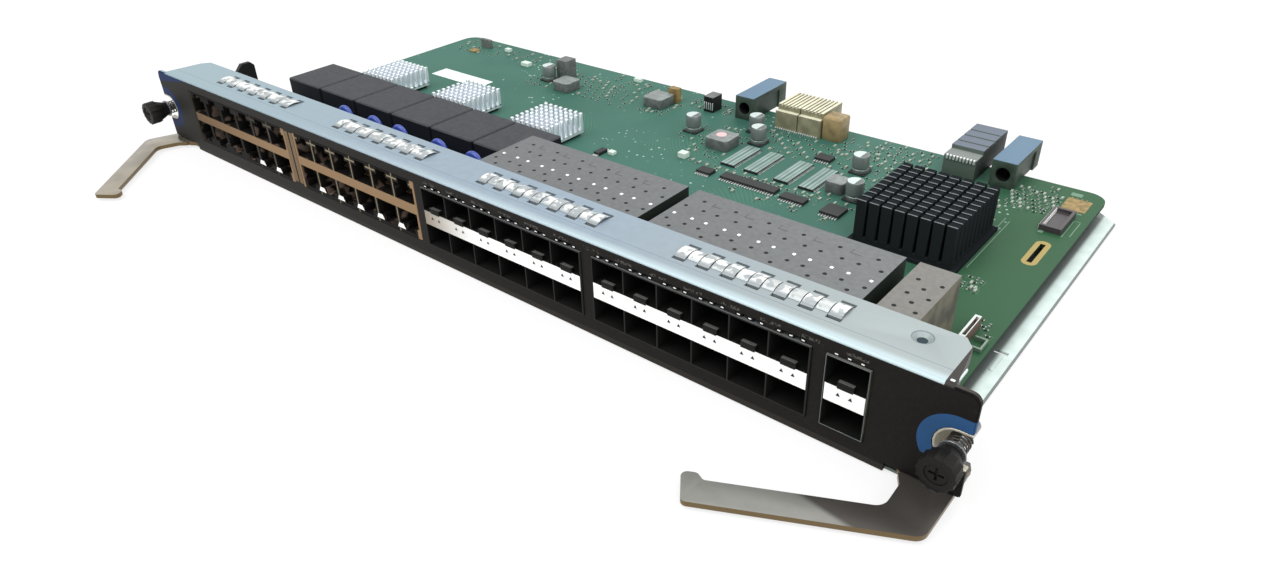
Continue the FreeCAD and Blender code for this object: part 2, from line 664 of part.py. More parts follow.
def host_connectors():
    """Black connector at the back of every column of modules."""
    blocks = []
    for left, width in cage_blocks():
        for x in column_lefts(left, round(width / PORT_PITCH)):
            middle = x + PORT_PITCH / 2
            rear = CAGE_DEPTH - CAGE_SHEET
            body = centred_block(middle, rear - HOST_DEPTH / 2, HOST_WIDTH, HOST_DEPTH,
                                 (BOARD_TOP + CAGE_SHEET, CAGE_TOP - CAGE_SHEET))
            noses = [
                centred_block(middle, rear - HOST_DEPTH - HOST_NOSE / 2, HOST_WIDTH - 2, HOST_NOSE, (z - 1.6, z + 1.6))
                for z in (BOARD_TOP + CAGE_HEIGHT * 0.2, BOARD_TOP + CAGE_HEIGHT * 0.8)
            ]
            blocks.append(joined([body] + noses))
    return blocks


def light_pipes():
    """Clear comb over each large cage, one prong a lamp."""
    combs = []
    z_span = (LENS_BOTTOM, LENS_BOTTOM + LENS_HEIGHT)
    for centres in lens_centres():
        prongs = [
            block((x - LENS_WIDTH / 2, x + LENS_WIDTH / 2), (-OVERLAY_SHEET, PIPE_BAR_Y), z_span) for x in centres
        ]
        bar = block((centres[0] - LENS_WIDTH / 2, centres[-1] + LENS_WIDTH / 2),
                    (PIPE_BAR_Y, PIPE_BAR_Y + PIPE_BAR_DEPTH), (CAGE_TOP, LENS_BOTTOM + LENS_HEIGHT))
        combs.append(joined([bar] + prongs))
    return combs


# ---------------------------------------------------------------- tray and board
def base_tray():
    """Sheet tray with a front lip, two lever ears and seats for the standoffs."""
    left, right = TRAY_SIDE_GAP, TRAY_RIGHT
    floor = prism(
        [(left, PANEL_SHEET, 0), (right, PANEL_SHEET, 0), (right, TRAY_REAR - TRAY_CHAMFER_Y, 0),
         (right - TRAY_CHAMFER_X, TRAY_REAR, 0), (left + TRAY_CHAMFER_X, TRAY_REAR, 0),
         (left, TRAY_REAR - TRAY_CHAMFER_Y, 0)],
        Vector(0, 0, TRAY_SHEET))
    ear = block((left - EAR_REACH, left + 1), (PANEL_SHEET, PANEL_SHEET + EAR_DEPTH), (0, TRAY_SHEET))
    lip = block((TRAY_LIP_INSET, PANEL_WIDTH - TRAY_LIP_INSET), (PANEL_SHEET, PANEL_SHEET + TRAY_SHEET),
                (0, min(TRAY_LIP_HEIGHT, BOARD_TOP - WINDOW_CLEARANCE)))
    body = joined([floor, lip] + both_ends(ear))
    rib_x, rib_y = TRAY_RIB[:2], TRAY_RIB[2:]
    rib = block(rib_x, rib_y, (TRAY_SHEET / 2, TRAY_SHEET + TRAY_RIB_HEIGHT))
    body = joined([body, rib])
    pin = rod(LEVER_PIN_RADIUS, Vector(LEVER_PIVOT_X, LEVER_PIVOT_Y, -1), Vector(0, 0, TRAY_SHEET + 2))
    seats = [standing_polygon(x, y, STANDOFF_RADIUS, 6, (-1, TRAY_SHEET + 1)) for x, y in STANDOFF_PLACES]
    slot = block(TRAY_SLOT[:2], TRAY_SLOT[2:], (-1, TRAY_SHEET + 1))
    return without(body, both_ends(pin) + seats + [slot])


def main_board():
    """Circuit board with its rear corners rounded."""
    board = block((BOARD_LEFT, BOARD_RIGHT), (BOARD_FRONT, BOARD_REAR), (BOARD_BOTTOM, BOARD_TOP))
    corners = [
        edge for edge in board.Edges
        if abs(edge.tangentAt(edge.FirstParameter).z) > 0.9 and edge.BoundBox.YMin > BOARD_REAR - 1
    ]
    board = board.makeFillet(BOARD_CORNER, corners)
    slot_x = BOARD_RIGHT - BOARD_SLOT_FROM_RIGHT
    slot_y = BOARD_REAR - BOARD_SLOT_FROM_REAR
    width, length = BOARD_SLOT_SIZE
    slot = block((slot_x - width / 2, slot_x + width / 2), (slot_y - length, slot_y),
                 (BOARD_BOTTOM - 1, BOARD_TOP + 1))
    return without(board, [slot])


def board_standoffs():
    """Hexagonal standoffs clinched flush in the tray and soldered under the board."""
    return [standing_polygon(x, y, STANDOFF_RADIUS, 6, (0, BOARD_BOTTOM)) for x, y in STANDOFF_PLACES]


# ---------------------------------------------------------------- ejector levers
def lever_outline():
    """Left lever when shut, about its pivot: head, slanted neck, long arm and hooked tip."""
    lean = math.radians(LEVER_LEAN)
    rise = Vector(-math.sin(lean), math.cos(lean), 0)
    corner = Vector(LEVER_HEEL_X, LEVER_CORNER_Y, 0)
    return corner, rise


def lever(open_angle):
    """Left lever, turned from shut to its open angle about the pivot."""
    corner, rise = lever_outline()
    inner_y = LEVER_CORNER_Y + LEVER_ARM_WIDTH
    up = Vector(0, 0, LEVER_SHEET)
    arm = prism(
        [(corner.x, LEVER_CORNER_Y, 0), (LEVER_LENGTH, LEVER_CORNER_Y, 0),
         (LEVER_LENGTH + 2.0, inner_y + LEVER_HOOK_HEIGHT, 0),
         (LEVER_LENGTH + 2.0 - LEVER_HOOK_WIDTH, inner_y + LEVER_HOOK_HEIGHT, 0),
         (LEVER_LENGTH - LEVER_HOOK_WIDTH, inner_y, 0), (corner.x + LEVER_NECK_WIDTH, inner_y, 0)], up)
    neck_length = -LEVER_CORNER_Y / rise.y - 2.0
    neck_top = corner + rise * neck_length
    neck = prism(
        [(corner.x, corner.y, 0), (corner.x + LEVER_NECK_WIDTH, corner.y, 0),
         (corner.x + LEVER_NECK_WIDTH, inner_y, 0), (LEVER_HEAD_RADIUS - 0.9, -LEVER_HEAD_RADIUS, 0),
         (LEVER_HEAD_RADIUS - 0.6, -LEVER_HEAD_RADIUS / 2, 0),
         (0, 0, 0), (neck_top.x, neck_top.y, 0)], up)
    head = standing_polygon(0, 0, LEVER_HEAD_RADIUS, LEVER_HEAD_SIDES, (0, LEVER_SHEET))
    nose_angle = math.radians(170)
    nose = prism(
        [(0, LEVER_HEAD_RADIUS, 0),
         (LEVER_NOSE_RADIUS * math.cos(nose_angle), LEVER_NOSE_RADIUS * math.sin(nose_angle) + 1.5, 0),
         (LEVER_NOSE_RADIUS * math.cos(nose_angle), LEVER_NOSE_RADIUS * math.sin(nose_angle) - 1.5, 0),
         (-LEVER_HEAD_RADIUS * 0.7, -LEVER_HEAD_RADIUS * 0.7, 0), (0, 0, 0)], up)
    plate = joined([arm, neck, head, nose])
    rounds = {
        4.5: [(corner.x, LEVER_CORNER_Y), (corner.x + LEVER_NECK_WIDTH, inner_y)],
        2.0: [(LEVER_LENGTH, LEVER_CORNER_Y), (LEVER_LENGTH + 2.0, inner_y + LEVER_HOOK_HEIGHT),
              (LEVER_LENGTH + 2.0 - LEVER_HOOK_WIDTH, inner_y + LEVER_HOOK_HEIGHT)],
        1.5: [(LEVER_LENGTH - LEVER_HOOK_WIDTH, inner_y)],
    }
    for radius, places in rounds.items():
        edges = [edge for edge in plate.Edges if upright_at(edge, places)]
        if edges:
            plate = plate.makeFillet(radius, edges)
    bore = rod(LEVER_PIN_RADIUS + LEVER_PIN_CLEARANCE, Vector(0, 0, -1), Vector(0, 0, LEVER_SHEET + 2))
    plate = plate.cut(bore)
    plate.rotate(Vector(0, 0, 0), Vector(0, 0, 1), -open_angle)
    plate.translate(Vector(LEVER_PIVOT_X, LEVER_PIVOT_Y, LEVER_BOTTOM))
    return plate


def upright_at(edge, places):
    """Whether an edge stands upright at one of the given plan points."""
    start, end = edge.Vertexes[0].Point, edge.Vertexes[-1].Point
    if abs(start.z - end.z) < 0.5 or math.hypot(start.x - end.x, start.y - end.y) > 1e-6:
        return False
    return any(math.hypot(start.x - x, start.y - y) < 0.01 for x, y in places)


def lever_pin():
    """Shoulder rivet that the left lever turns on."""
    head_bottom = LEVER_TOP + LEVER_LIFT
    shoulder = rod(LEVER_PIN_RADIUS, Vector(LEVER_PIVOT_X, LEVER_PIVOT_Y, 0), Vector(0, 0, head_bottom))
    head = standing_polygon(LEVER_PIVOT_X, LEVER_PIVOT_Y, LEVER_PIN_HEAD_RADIUS, 16,
                            (head_bottom, head_bottom + LEVER_PIN_HEAD_HEIGHT))
    return joined([shoulder, head])


# ---------------------------------------------------------------- captive screws
def half_round(radius, y_span, end_x):
    """Many-sided U-shaped block about the left screw's axis, its arms ending at one x."""
    steps = 10
    arc = [
        (SCREW_FROM_END + radius * math.cos(angle), y_span[0], SCREW_Z + radius * math.sin(angle))
        for angle in [math.pi * (index / steps - 0.5) for index in range(steps + 1)]
    ]
    ends = [(end_x, y_span[0], SCREW_Z + radius), (end_x, y_span[0], SCREW_Z - radius)]
    return prism(arc + (ends if end_x < SCREW_FROM_END else []), Vector(0, y_span[1] - y_span[0], 0))


def screw_cup():
    """Flanged U-shaped cup in the left slot, with a web that holds the screw."""
    start = -OVERLAY_SHEET
    end = CUP_DEPTH
    web = end - CUP_WALL
    back = PANEL_SHEET + CUP_WALL
    flange = half_round(CUP_RADIUS + CUP_FLANGE, (PANEL_SHEET, back), CUP_FLANGE_END)
    rim = half_round(CUP_RADIUS, (start, back), 0)
    pocket = half_round(CUP_RADIUS, (back, end), SCREW_FROM_END)
    tongue = standing_disc(SHANK_RADIUS + CUP_BORE_CLEARANCE + CUP_WALL, web, end)
    room = half_round(CUP_RADIUS - CUP_WALL, (start - 1, web), -1)
    bore = screw_rod(SHANK_RADIUS + CUP_BORE_CLEARANCE, start, end + 1)
    return joined([rim, flange, pocket, tongue]).cut([room, bore])


def standing_disc(radius, start, end):
    """Many-sided disc about the left screw's axis."""
    return faceted(SCREW_FROM_END, SCREW_Z, [(radius, start), (radius, end)], 20)


def screw_rod(radius, start, end):
    """Round length of the left screw."""
    return rod(radius, Vector(SCREW_FROM_END, start, SCREW_Z), Vector(0, end - start, 0))


def keyed_shank(start, end):
    """Many-sided length of the shank that the knob is moulded on."""
    return faceted(SCREW_FROM_END, SCREW_Z, [(SHANK_RADIUS, start), (SHANK_RADIUS, end)], KNOB_FLUTES)


def screw_knob():
    """Fluted plastic knob with a recess for the screw's head."""
    points = []
    for index in range(2 * KNOB_FLUTES):
        radius = KNOB_RADIUS - (index % 2) * KNOB_FLUTE_DEPTH
        angle = math.pi * index / KNOB_FLUTES
        points.append((SCREW_FROM_END + radius * math.cos(angle), KNOB_FRONT, SCREW_Z + radius * math.sin(angle)))
    belt = prism(points, Vector(0, KNOB_BELT - KNOB_FRONT, 0))
    neck = faceted(
        SCREW_FROM_END, SCREW_Z,
        [(KNOB_RADIUS - KNOB_FLUTE_DEPTH, KNOB_BELT), (KNOB_NECK_RADIUS, KNOB_REAR)], KNOB_FLUTES)
    recess = faceted(
        SCREW_FROM_END, SCREW_Z,
        [(KNOB_RECESS_RADIUS, KNOB_FRONT - 1), (KNOB_RECESS_RADIUS, KNOB_FRONT + KNOB_RECESS_DEPTH)], KNOB_FLUTES)
    return joined([belt, neck]).cut([recess, keyed_shank(KNOB_FRONT, KNOB_REAR + 1)])


def captive_screw():
    """Steel screw with a cross recess, a plain shank and a thicker threaded end."""
    head_front = KNOB_FRONT + 0.4
    head_rear = KNOB_FRONT + KNOB_RECESS_DEPTH
    shoulder = CUP_DEPTH + HEAD_CLEARANCE
    head_radius = KNOB_RECESS_RADIUS - HEAD_CLEARANCE
    head = faceted(SCREW_FROM_END, SCREW_Z, [(head_radius, head_front), (head_radius, head_rear)], KNOB_FLUTES)
    grip = keyed_shank(head_rear, KNOB_REAR)
    shank = screw_rod(SHANK_RADIUS, KNOB_REAR, shoulder)
    thread = screw_rod(THREAD_RADIUS, shoulder, shoulder + THREAD_LENGTH)
    half, arm = 0.4, head_radius * 0.65
    y_span = (head_front - 1, head_front + 0.8)
    x, z = SCREW_FROM_END, SCREW_Z
    cross = [
        block((x - arm, x + arm), y_span, (z - half, z + half)),
        block((x - half, x + half), y_span, (z - arm, z + arm)),
    ]
    return joined([head, grip, shank, thread]).cut(cross)


def screw_washer():
    """Thin washer between the knob and its spring."""
    rear = KNOB_REAR + WASHER_THICKNESS
    disc = faceted(SCREW_FROM_END, SCREW_Z, [(WASHER_RADIUS, KNOB_REAR), (WASHER_RADIUS, rear)], KNOB_FLUTES)
    return disc.cut(screw_rod(SHANK_RADIUS + WASHER_CLEARANCE, KNOB_REAR - 1, rear + 1))


def screw_spring():
    """Coil spring of square wire between the washer and the cup's web."""
    half = SPRING_WIRE / 2
    gap = 0.05
    start = KNOB_REAR + WASHER_THICKNESS + half + gap
    end = CUP_DEPTH - CUP_WALL - half - gap
    steps = SPRING_TURNS * SPRING_STEPS
    rings = []
    for index in range(steps + 1):
        angle = 2 * math.pi * index / SPRING_STEPS
        y = start + (end - start) * index / steps
        corners = []
        for out, along in ((-half, -half), (half, -half), (half, half), (-half, half)):
            radius = SPRING_RADIUS + out
            corners.append(Vector(SCREW_FROM_END + radius * math.cos(angle), y + along,
                                  SCREW_Z + radius * math.sin(angle)))
        rings.append(Part.makePolygon(corners + corners[:1]))
    return Part.makeLoft(rings, True, True)


# ---------------------------------------------------------------- parts on the board
def line_transformers():
    """Row of six square moulded blocks behind the copper ports."""
    span = JACKS_RIGHT - LEFT_MARGIN + 2 * TRANSFORMER_SIDE_REACH + TRANSFORMER_SEAM
    pitch = span / TRANSFORMER_COUNT
    left = LEFT_MARGIN - TRANSFORMER_SIDE_REACH
    y_span = (TRANSFORMER_FRONT, TRANSFORMER_FRONT + TRANSFORMER_DEPTH)
    z_span = (BOARD_TOP, BOARD_TOP + TRANSFORMER_HEIGHT)
    return [
        softened(block((left + index * pitch, left + (index + 1) * pitch - TRANSFORMER_SEAM), y_span, z_span),
                 TRANSFORMER_EDGE)
        for index in range(TRANSFORMER_COUNT)
    ]


def disc_capacitors():
    """Dipped discs standing between the jacks and the transformers."""
    y = TRANSFORMER_FRONT - DISC_FROM_TRANSFORMERS
    z = BOARD_TOP + TRANSFORMER_HEIGHT - DISC_RADIUS - 0.5
    pieces = []
    half = DISC_THICKNESS / 2
    for x in DISC_CENTRES:
        disc = faceted(x, z, [(DISC_RADIUS * 0.8, y - half), (DISC_RADIUS, y - half * 0.4), (DISC_RADIUS, y + half * 0.4),
                              (DISC_RADIUS * 0.8, y + half)], 12)
        legs = [centred_block(x + shift, y, 0.6, 0.6, (BOARD_TOP, z - DISC_RADIUS / 2)) for shift in (-2.5, 2.5)]
        pieces.append(joined([disc] + legs))
    return pieces


def pin_sink(x, y, size, height, pins, pin, bottom):
    """Heat sink: a base plate with rows of square pins."""
    width, depth = size
    columns, rows = pins
    pin_width, pin_depth = pin
    pieces = [centred_block(x, y, width, depth, (bottom, bottom + SINK_BASE))]
    for column in range(columns):
        pin_x = x - width / 2 + pin_width / 2 + column * (width - pin_width) / (columns - 1)
        for row in range(rows):
            pin_y = y - depth / 2 + pin_depth / 2 + row * (depth - pin_depth) / (rows - 1)
            pieces.append(centred_block(pin_x, pin_y, pin_width, pin_depth, (bottom + SINK_BASE / 2, bottom + height)))
    return pieces[0].fuse(pieces[1:])


def small_sink_y():
    """Centre line of the three small heat sinks."""
    return TRANSFORMER_FRONT + TRANSFORMER_DEPTH + SMALL_SINK_GAP + SMALL_SINK_SIZE / 2


def small_sink(x):
    """Bright finned heat sink over one port chip."""
    bottom = BOARD_TOP + CHIP_HEIGHT
    y = small_sink_y()
    size = SMALL_SINK_SIZE
    pieces = [centred_block(x, y, size, size, (bottom, bottom + SINK_BASE))]
    for index in range(SMALL_SINK_PINS):
        fin_x = x + (index / (SMALL_SINK_PINS - 1) - 0.5) * (size - SMALL_SINK_PIN)
        pieces.append(centred_block(fin_x, y, SMALL_SINK_PIN, size, (bottom + SINK_BASE / 2, bottom + SMALL_SINK_HEIGHT)))
    return joined(pieces)


def large_sink():
    """Black pin heat sink over the switching chip."""
    x, y = LARGE_SINK_CENTRE
    return pin_sink(
        x, y, (LARGE_SINK_WIDTH, LARGE_SINK_DEPTH), LARGE_SINK_HEIGHT,
        (LARGE_SINK_COLUMNS, LARGE_SINK_ROWS), (LARGE_SINK_PIN_WIDTH, LARGE_SINK_PIN_DEPTH), BOARD_TOP + CHIP_HEIGHT)


def sunk_chips():
    """Chips under the four heat sinks."""
    z_span = (BOARD_TOP, BOARD_TOP + CHIP_HEIGHT)
    chips = [centred_block(x, small_sink_y(), SMALL_CHIP_SIZE, SMALL_CHIP_SIZE, z_span) for x in SMALL_SINK_CENTRES]
    x, y = LARGE_SINK_CENTRE
    return chips + [centred_block(x, y, LARGE_CHIP_SIZE, LARGE_CHIP_SIZE, z_span)]


def guide_block(left):
    """Guide socket with a bore for the chassis pin, a roof and an end collar."""
    y_span = (BOARD_REAR - GUIDE_FRONT, BOARD_REAR + GUIDE_REACH)
    top = BOARD_TOP + GUIDE_HEIGHT
    body = block((left, left + GUIDE_WIDTH), y_span, (BOARD_TOP, top))
    middle = Vector(left + GUIDE_WIDTH / 2, y_span[0] - 1, BOARD_TOP + GUIDE_HEIGHT / 2)
    bore = rod(GUIDE_BORE, middle, Vector(0, y_span[1] - y_span[0] + 2, 0))
    pockets = [
        block(x_span, (y_span[0] + GUIDE_POCKET_FRONT, y_span[1] - GUIDE_COLLAR), (BOARD_TOP - 1, top - GUIDE_ROOF))
        for x_span in ((left - 1, left + GUIDE_POCKET_DEPTH), (left + GUIDE_WIDTH - GUIDE_POCKET_DEPTH, left + GUIDE_WIDTH + 1))
    ]
    return body.cut([bore] + pockets)


def backplane_receptacle(left):
    """Moulded receptacle with lengthwise grooves in its roof and a stepped front."""
    y_span = (BOARD_REAR - RECEPTACLE_FRONT, BOARD_REAR + RECEPTACLE_REACH)
    top = BOARD_TOP + RECEPTACLE_HEIGHT
    body = block((left, left + RECEPTACLE_WIDTH), y_span, (BOARD_TOP, top))
    step = block((left - 1, left + RECEPTACLE_WIDTH + 1), (y_span[0] - 1, y_span[0] + 2.5), (top - 3.0, top + 1))
    pitch = RECEPTACLE_WIDTH / (RECEPTACLE_GROOVES + 1)
    grooves = [
        block((left + (index + 1) * pitch - GROOVE_WIDTH / 2, left + (index + 1) * pitch + GROOVE_WIDTH / 2),
              (y_span[0] - 1, y_span[1] + 1), (top - GROOVE_DEPTH, top + 1))
        for index in range(RECEPTACLE_GROOVES)
    ]
    return body.cut([step] + grooves)


def power_tap():
    """Small power receptacle beside the others, with two blade slots in its rear."""
    front = BOARD_REAR - TAP_FRONT
    body = block((TAP_LEFT, TAP_LEFT + TAP_WIDTH), (front, front + TAP_DEPTH), (BOARD_TOP, BOARD_TOP + TAP_HEIGHT))
    body = softened(body, 0.8)
    slots = [
        block((TAP_LEFT + 1.5, TAP_LEFT + TAP_WIDTH - 1.5), (front + TAP_DEPTH - 5, front + TAP_DEPTH + 1), (z, z + 1.6))
        for z in (BOARD_TOP + 3.0, BOARD_TOP + 7.5)
    ]
    return body.cut(slots)


def signal_header():
    """Stepped high-speed header that reaches past the board."""
    front = BOARD_REAR - HEADER_FRONT
    x_span = (HEADER_LEFT, HEADER_LEFT + HEADER_WIDTH)
    rear = block(x_span, (front + HEADER_STEP, BOARD_REAR + HEADER_REACH), (BOARD_TOP, BOARD_TOP + HEADER_HEIGHT))
    nose = block(x_span, (front, front + HEADER_STEP + 1), (BOARD_TOP, BOARD_TOP + HEADER_STEP_HEIGHT))
    body = joined([rear, nose])
    rear_length = BOARD_REAR + HEADER_REACH - front - HEADER_STEP
    width, depth = HEADER_GROOVE_SIZE
    top = BOARD_TOP + HEADER_HEIGHT
    middles = [front + HEADER_STEP + rear_length * (index + 0.75) / (HEADER_GROOVES + 1)
               for index in range(HEADER_GROOVES)]
    grooves = [
        block((HEADER_LEFT - 1, HEADER_LEFT + HEADER_WIDTH + 1), (y, y + width), (top - depth, top + 1))
        for y in middles
    ]
    return body.cut(grooves)


def can_capacitors():
    """Can capacitors on square feet."""
    cans = []
    for x, y in CAPACITOR_PLACES:
        foot = centred_block(x, y, CAPACITOR_FOOT, CAPACITOR_FOOT, (BOARD_TOP, BOARD_TOP + CAPACITOR_FOOT_HEIGHT))
        can = standing_polygon(x, y, CAPACITOR_RADIUS, 20, (BOARD_TOP, BOARD_TOP + CAPACITOR_HEIGHT))
        cans.append(joined([foot, can]))
    return cans


def power_inductors():
    """Moulded inductors with cut corners."""
    bodies = []
    for x, y, size in INDUCTOR_PLACES:
        body = centred_block(x, y, size, size, (BOARD_TOP, BOARD_TOP + INDUCTOR_HEIGHT))
        edges = [edge for edge in body.Edges if abs(edge.tangentAt(edge.FirstParameter).z) > 0.9]
        bodies.append(body.makeChamfer(INDUCTOR_EDGE, edges))
    return bodies


def memory_chips():
    """Long flat memory packages."""
    width, depth, height = MEMORY_SIZE
    return [centred_block(x, y, width, depth, (BOARD_TOP, BOARD_TOP + height)) for x, y in MEMORY_PLACES]


def logic_chips():
    """Smaller logic packages."""
    return [
        centred_block(x, y, width, depth, (BOARD_TOP, BOARD_TOP + LOGIC_HEIGHT))
        for x, y, width, depth in LOGIC_PLACES
    ]


def corner_bracket():
    """Upright sheet bracket on a foot, behind the panel's left end."""
    x0, x1, y0, y1, height = BRACKET
    top = BOARD_TOP + height
    web = prism(
        [(x0, y0, BOARD_TOP), (x0, y1, BOARD_TOP), (x0, y1, top - 2.0), (x0, y1 - 2.0, top),
         (x0, y0 + BRACKET_SLOPE, top), (x0, y0, top - BRACKET_SLOPE)],
        Vector(x1 - x0, 0, 0))
    foot = block((x0 - BRACKET_FOOT, x1), (y0, y1), (BOARD_TOP, BOARD_TOP + 1.5))
    return joined([web, foot])


def loose_parts(places):
    """Plain blocks on the board from their spans and height."""
    return [block((x0, x1), (y0, y1), (BOARD_TOP, BOARD_TOP + height)) for x0, x1, y0, y1, height in places]


def edge_part():
    """Shielded part near the right edge, open on top."""
    x0, x1, y0, y1, height = EDGE_PART
    wall = EDGE_PART_WALL
    body = block((x0, x1), (y0, y1), (BOARD_TOP, BOARD_TOP + height))
    return body.cut(block((x0 + wall, x1 - wall), (y0 + wall, y1 - wall), (BOARD_TOP + 1, BOARD_TOP + height + 1)))


def wire_clip():
    """Low U-shaped clip beside the socket."""
    x0, x1, y0, y1, height = CLIP
    body = block((x0, x1), (y0, y1), (BOARD_TOP, BOARD_TOP + height))
    return body.cut(block((x0 - 1, x1 - CLIP_WALL), (y0 + CLIP_WALL, y1 - CLIP_WALL), (BOARD_TOP - 1, BOARD_TOP + height + 1)))


def test_header():
    """Upright two-part socket near the right edge."""
    x, y, width, depth, height = TEST_HEADER
    body = block((x, x + width), (y, y + depth), (BOARD_TOP, BOARD_TOP + height))
    groove = block((x + 1.0, x + 2.0), (y + 1, y + depth - 1), (BOARD_TOP + 2, BOARD_TOP + height + 1))
    return body.cut(groove)


def board_label():
    """Paper label on the board."""
    x0, x1, y0, y1 = LABEL
    return block((x0, x1), (y0, y1), (BOARD_TOP, BOARD_TOP + LABEL_THICKNESS))


# ---------------------------------------------------------------- write the parts
def all_parts():
    """Every node's name with its solid or solids."""
    parts = {
        "front_panel": front_panel(),
        "panel_overlay": panel_overlay(),
        "base_tray": base_tray(),
        "main_board": main_board(),
        "board_standoffs": board_standoffs(),
        "host_connectors": host_connectors(),
        "light_pipes": light_pipes(),
        "line_transformers": line_transformers(),
        "disc_capacitors": disc_capacitors(),
        "heat_sink_large": large_sink(),
        "sunk_chips": sunk_chips(),
        "power_tap": power_tap(),
        "signal_header": signal_header(),
        "can_capacitors": can_capacitors(),
        "power_inductors": power_inductors(),
        "memory_chips": memory_chips(),
        "logic_chips": logic_chips(),
        "corner_bracket": corner_bracket(),
        "grey_parts": loose_parts(GREY_PARTS),
        "gold_parts": loose_parts(GOLD_PARTS),
        "pale_parts": loose_parts(PALE_PARTS),
        "edge_part": edge_part(),
        "wire_clip": wire_clip(),
        "test_header": test_header(),
        "board_label": board_label(),
    }
    for number, left in enumerate(JACK_LEFTS, 1):
        parts[f"jack_shield_{number}"] = jack_shield(left)
        parts[f"jack_housing_{number}"] = jack_housing(left)
    for name, (left, width) in zip(("1", "2", "uplink"), cage_blocks()):
        parts[f"module_cage_{name}"] = module_cage(left, width)
        parts[f"cage_spacer_{name}"] = cage_spacer(left, width)
    for number, centre in enumerate(STRIP_CENTRES, 1):
        parts[f"gasket_strip_{number}"] = gasket_strip(centre)
    for number, centre in enumerate(SMALL_SINK_CENTRES, 1):
        parts[f"heat_sink_{number}"] = small_sink(centre)
    for side, left, receptacle_left in zip(("left", "right"), GUIDE_LEFTS, RECEPTACLE_LEFTS):
        parts[f"guide_block_{side}"] = guide_block(left)
        parts[f"backplane_receptacle_{side}"] = backplane_receptacle(receptacle_left)
    parts["left_lever"] = lever(LEFT_LEVER_OPEN)
    parts["right_lever"] = mirrored(lever(RIGHT_LEVER_OPEN))
    at_each_end = {
        "lever_pin": lever_pin, "screw_cup": screw_cup, "screw_knob": screw_knob,
        "captive_screw": captive_screw, "screw_washer": screw_washer, "screw_spring": screw_spring,
    }
    for name, make in at_each_end.items():
        shape = make()
        parts[f"left_{name}"] = shape
        parts[f"right_{name}"] = mirrored(shape)
    return parts


def main():
    """Write one STEP file a node."""
    os.makedirs("parts", exist_ok=True)
    for name, made in all_parts().items():
        shape = Part.makeCompound(made) if isinstance(made, list) else made
        shape.translate(-ORIGIN)
        shape.exportStep(f"parts/{name}.step")
        print(f"{name}: {len(shape.Solids)} solids, volume {shape.Volume:.0f} mm3, valid {shape.isValid()}")


main()
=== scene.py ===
"""Switch line card: the finishes, fine pieces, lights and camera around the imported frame."""
import logging
import math
from dataclasses import dataclass
from enum import Enum
from typing import Any, Callable, Iterable, Sequence

import bpy
from mathutils import Matrix, Vector


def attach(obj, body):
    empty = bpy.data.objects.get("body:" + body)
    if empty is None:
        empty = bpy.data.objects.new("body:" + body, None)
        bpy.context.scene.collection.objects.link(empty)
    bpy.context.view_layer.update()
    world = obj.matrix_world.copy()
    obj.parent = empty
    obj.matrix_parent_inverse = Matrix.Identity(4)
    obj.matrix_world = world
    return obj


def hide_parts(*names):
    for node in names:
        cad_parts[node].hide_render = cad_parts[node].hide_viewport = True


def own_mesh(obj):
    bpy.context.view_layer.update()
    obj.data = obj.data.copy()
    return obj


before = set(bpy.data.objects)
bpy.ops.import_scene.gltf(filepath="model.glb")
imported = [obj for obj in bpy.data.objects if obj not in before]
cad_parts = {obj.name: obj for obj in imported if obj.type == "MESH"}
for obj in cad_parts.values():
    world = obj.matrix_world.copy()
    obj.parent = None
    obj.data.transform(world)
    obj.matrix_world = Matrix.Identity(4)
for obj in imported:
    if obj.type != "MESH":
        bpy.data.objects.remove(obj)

LOG = logging.getLogger("line_card")
MM = 0.001
PANEL_MIDDLE = 218.5
DEPTH_MIDDLE = 101.6
PANEL_WIDTH = 2 * PANEL_MIDDLE
BOARD_TOP = 7.5
PORT_PITCH = 14.2
PORT_COLUMNS = 6
SCREW_INSET = 4.0
SCREW_HEIGHT = 19.55
FLANGE_HOLE = (413.8, 15.5)
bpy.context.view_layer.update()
Triple = tuple[float, float, float]
FaceTest = Callable[[bpy.types.MeshPolygon], bool]


def spot(x: float, y: float, z: float) -> Vector:
    """Turns card millimetres, from the panel's lower left front corner, into scene metres.

    Args:
        x: Distance from the panel's left end.
        y: Distance behind the panel's face.
        z: Height above the tray's underside.

    Returns:
        The same place in the row frame.
    """
    return Vector((x - PANEL_MIDDLE, y - DEPTH_MIDDLE, z)) * MM


def linear(colour: Sequence[float]) -> tuple[float, float, float, float]:
    """Turns display red, green and blue from 0 to 1 into a linear colour with full alpha."""
    parts = [c / 12.92 if c <= 0.04045 else ((c + 0.055) / 1.055) ** 2.4 for c in colour]
    return (parts[0], parts[1], parts[2], 1.0)


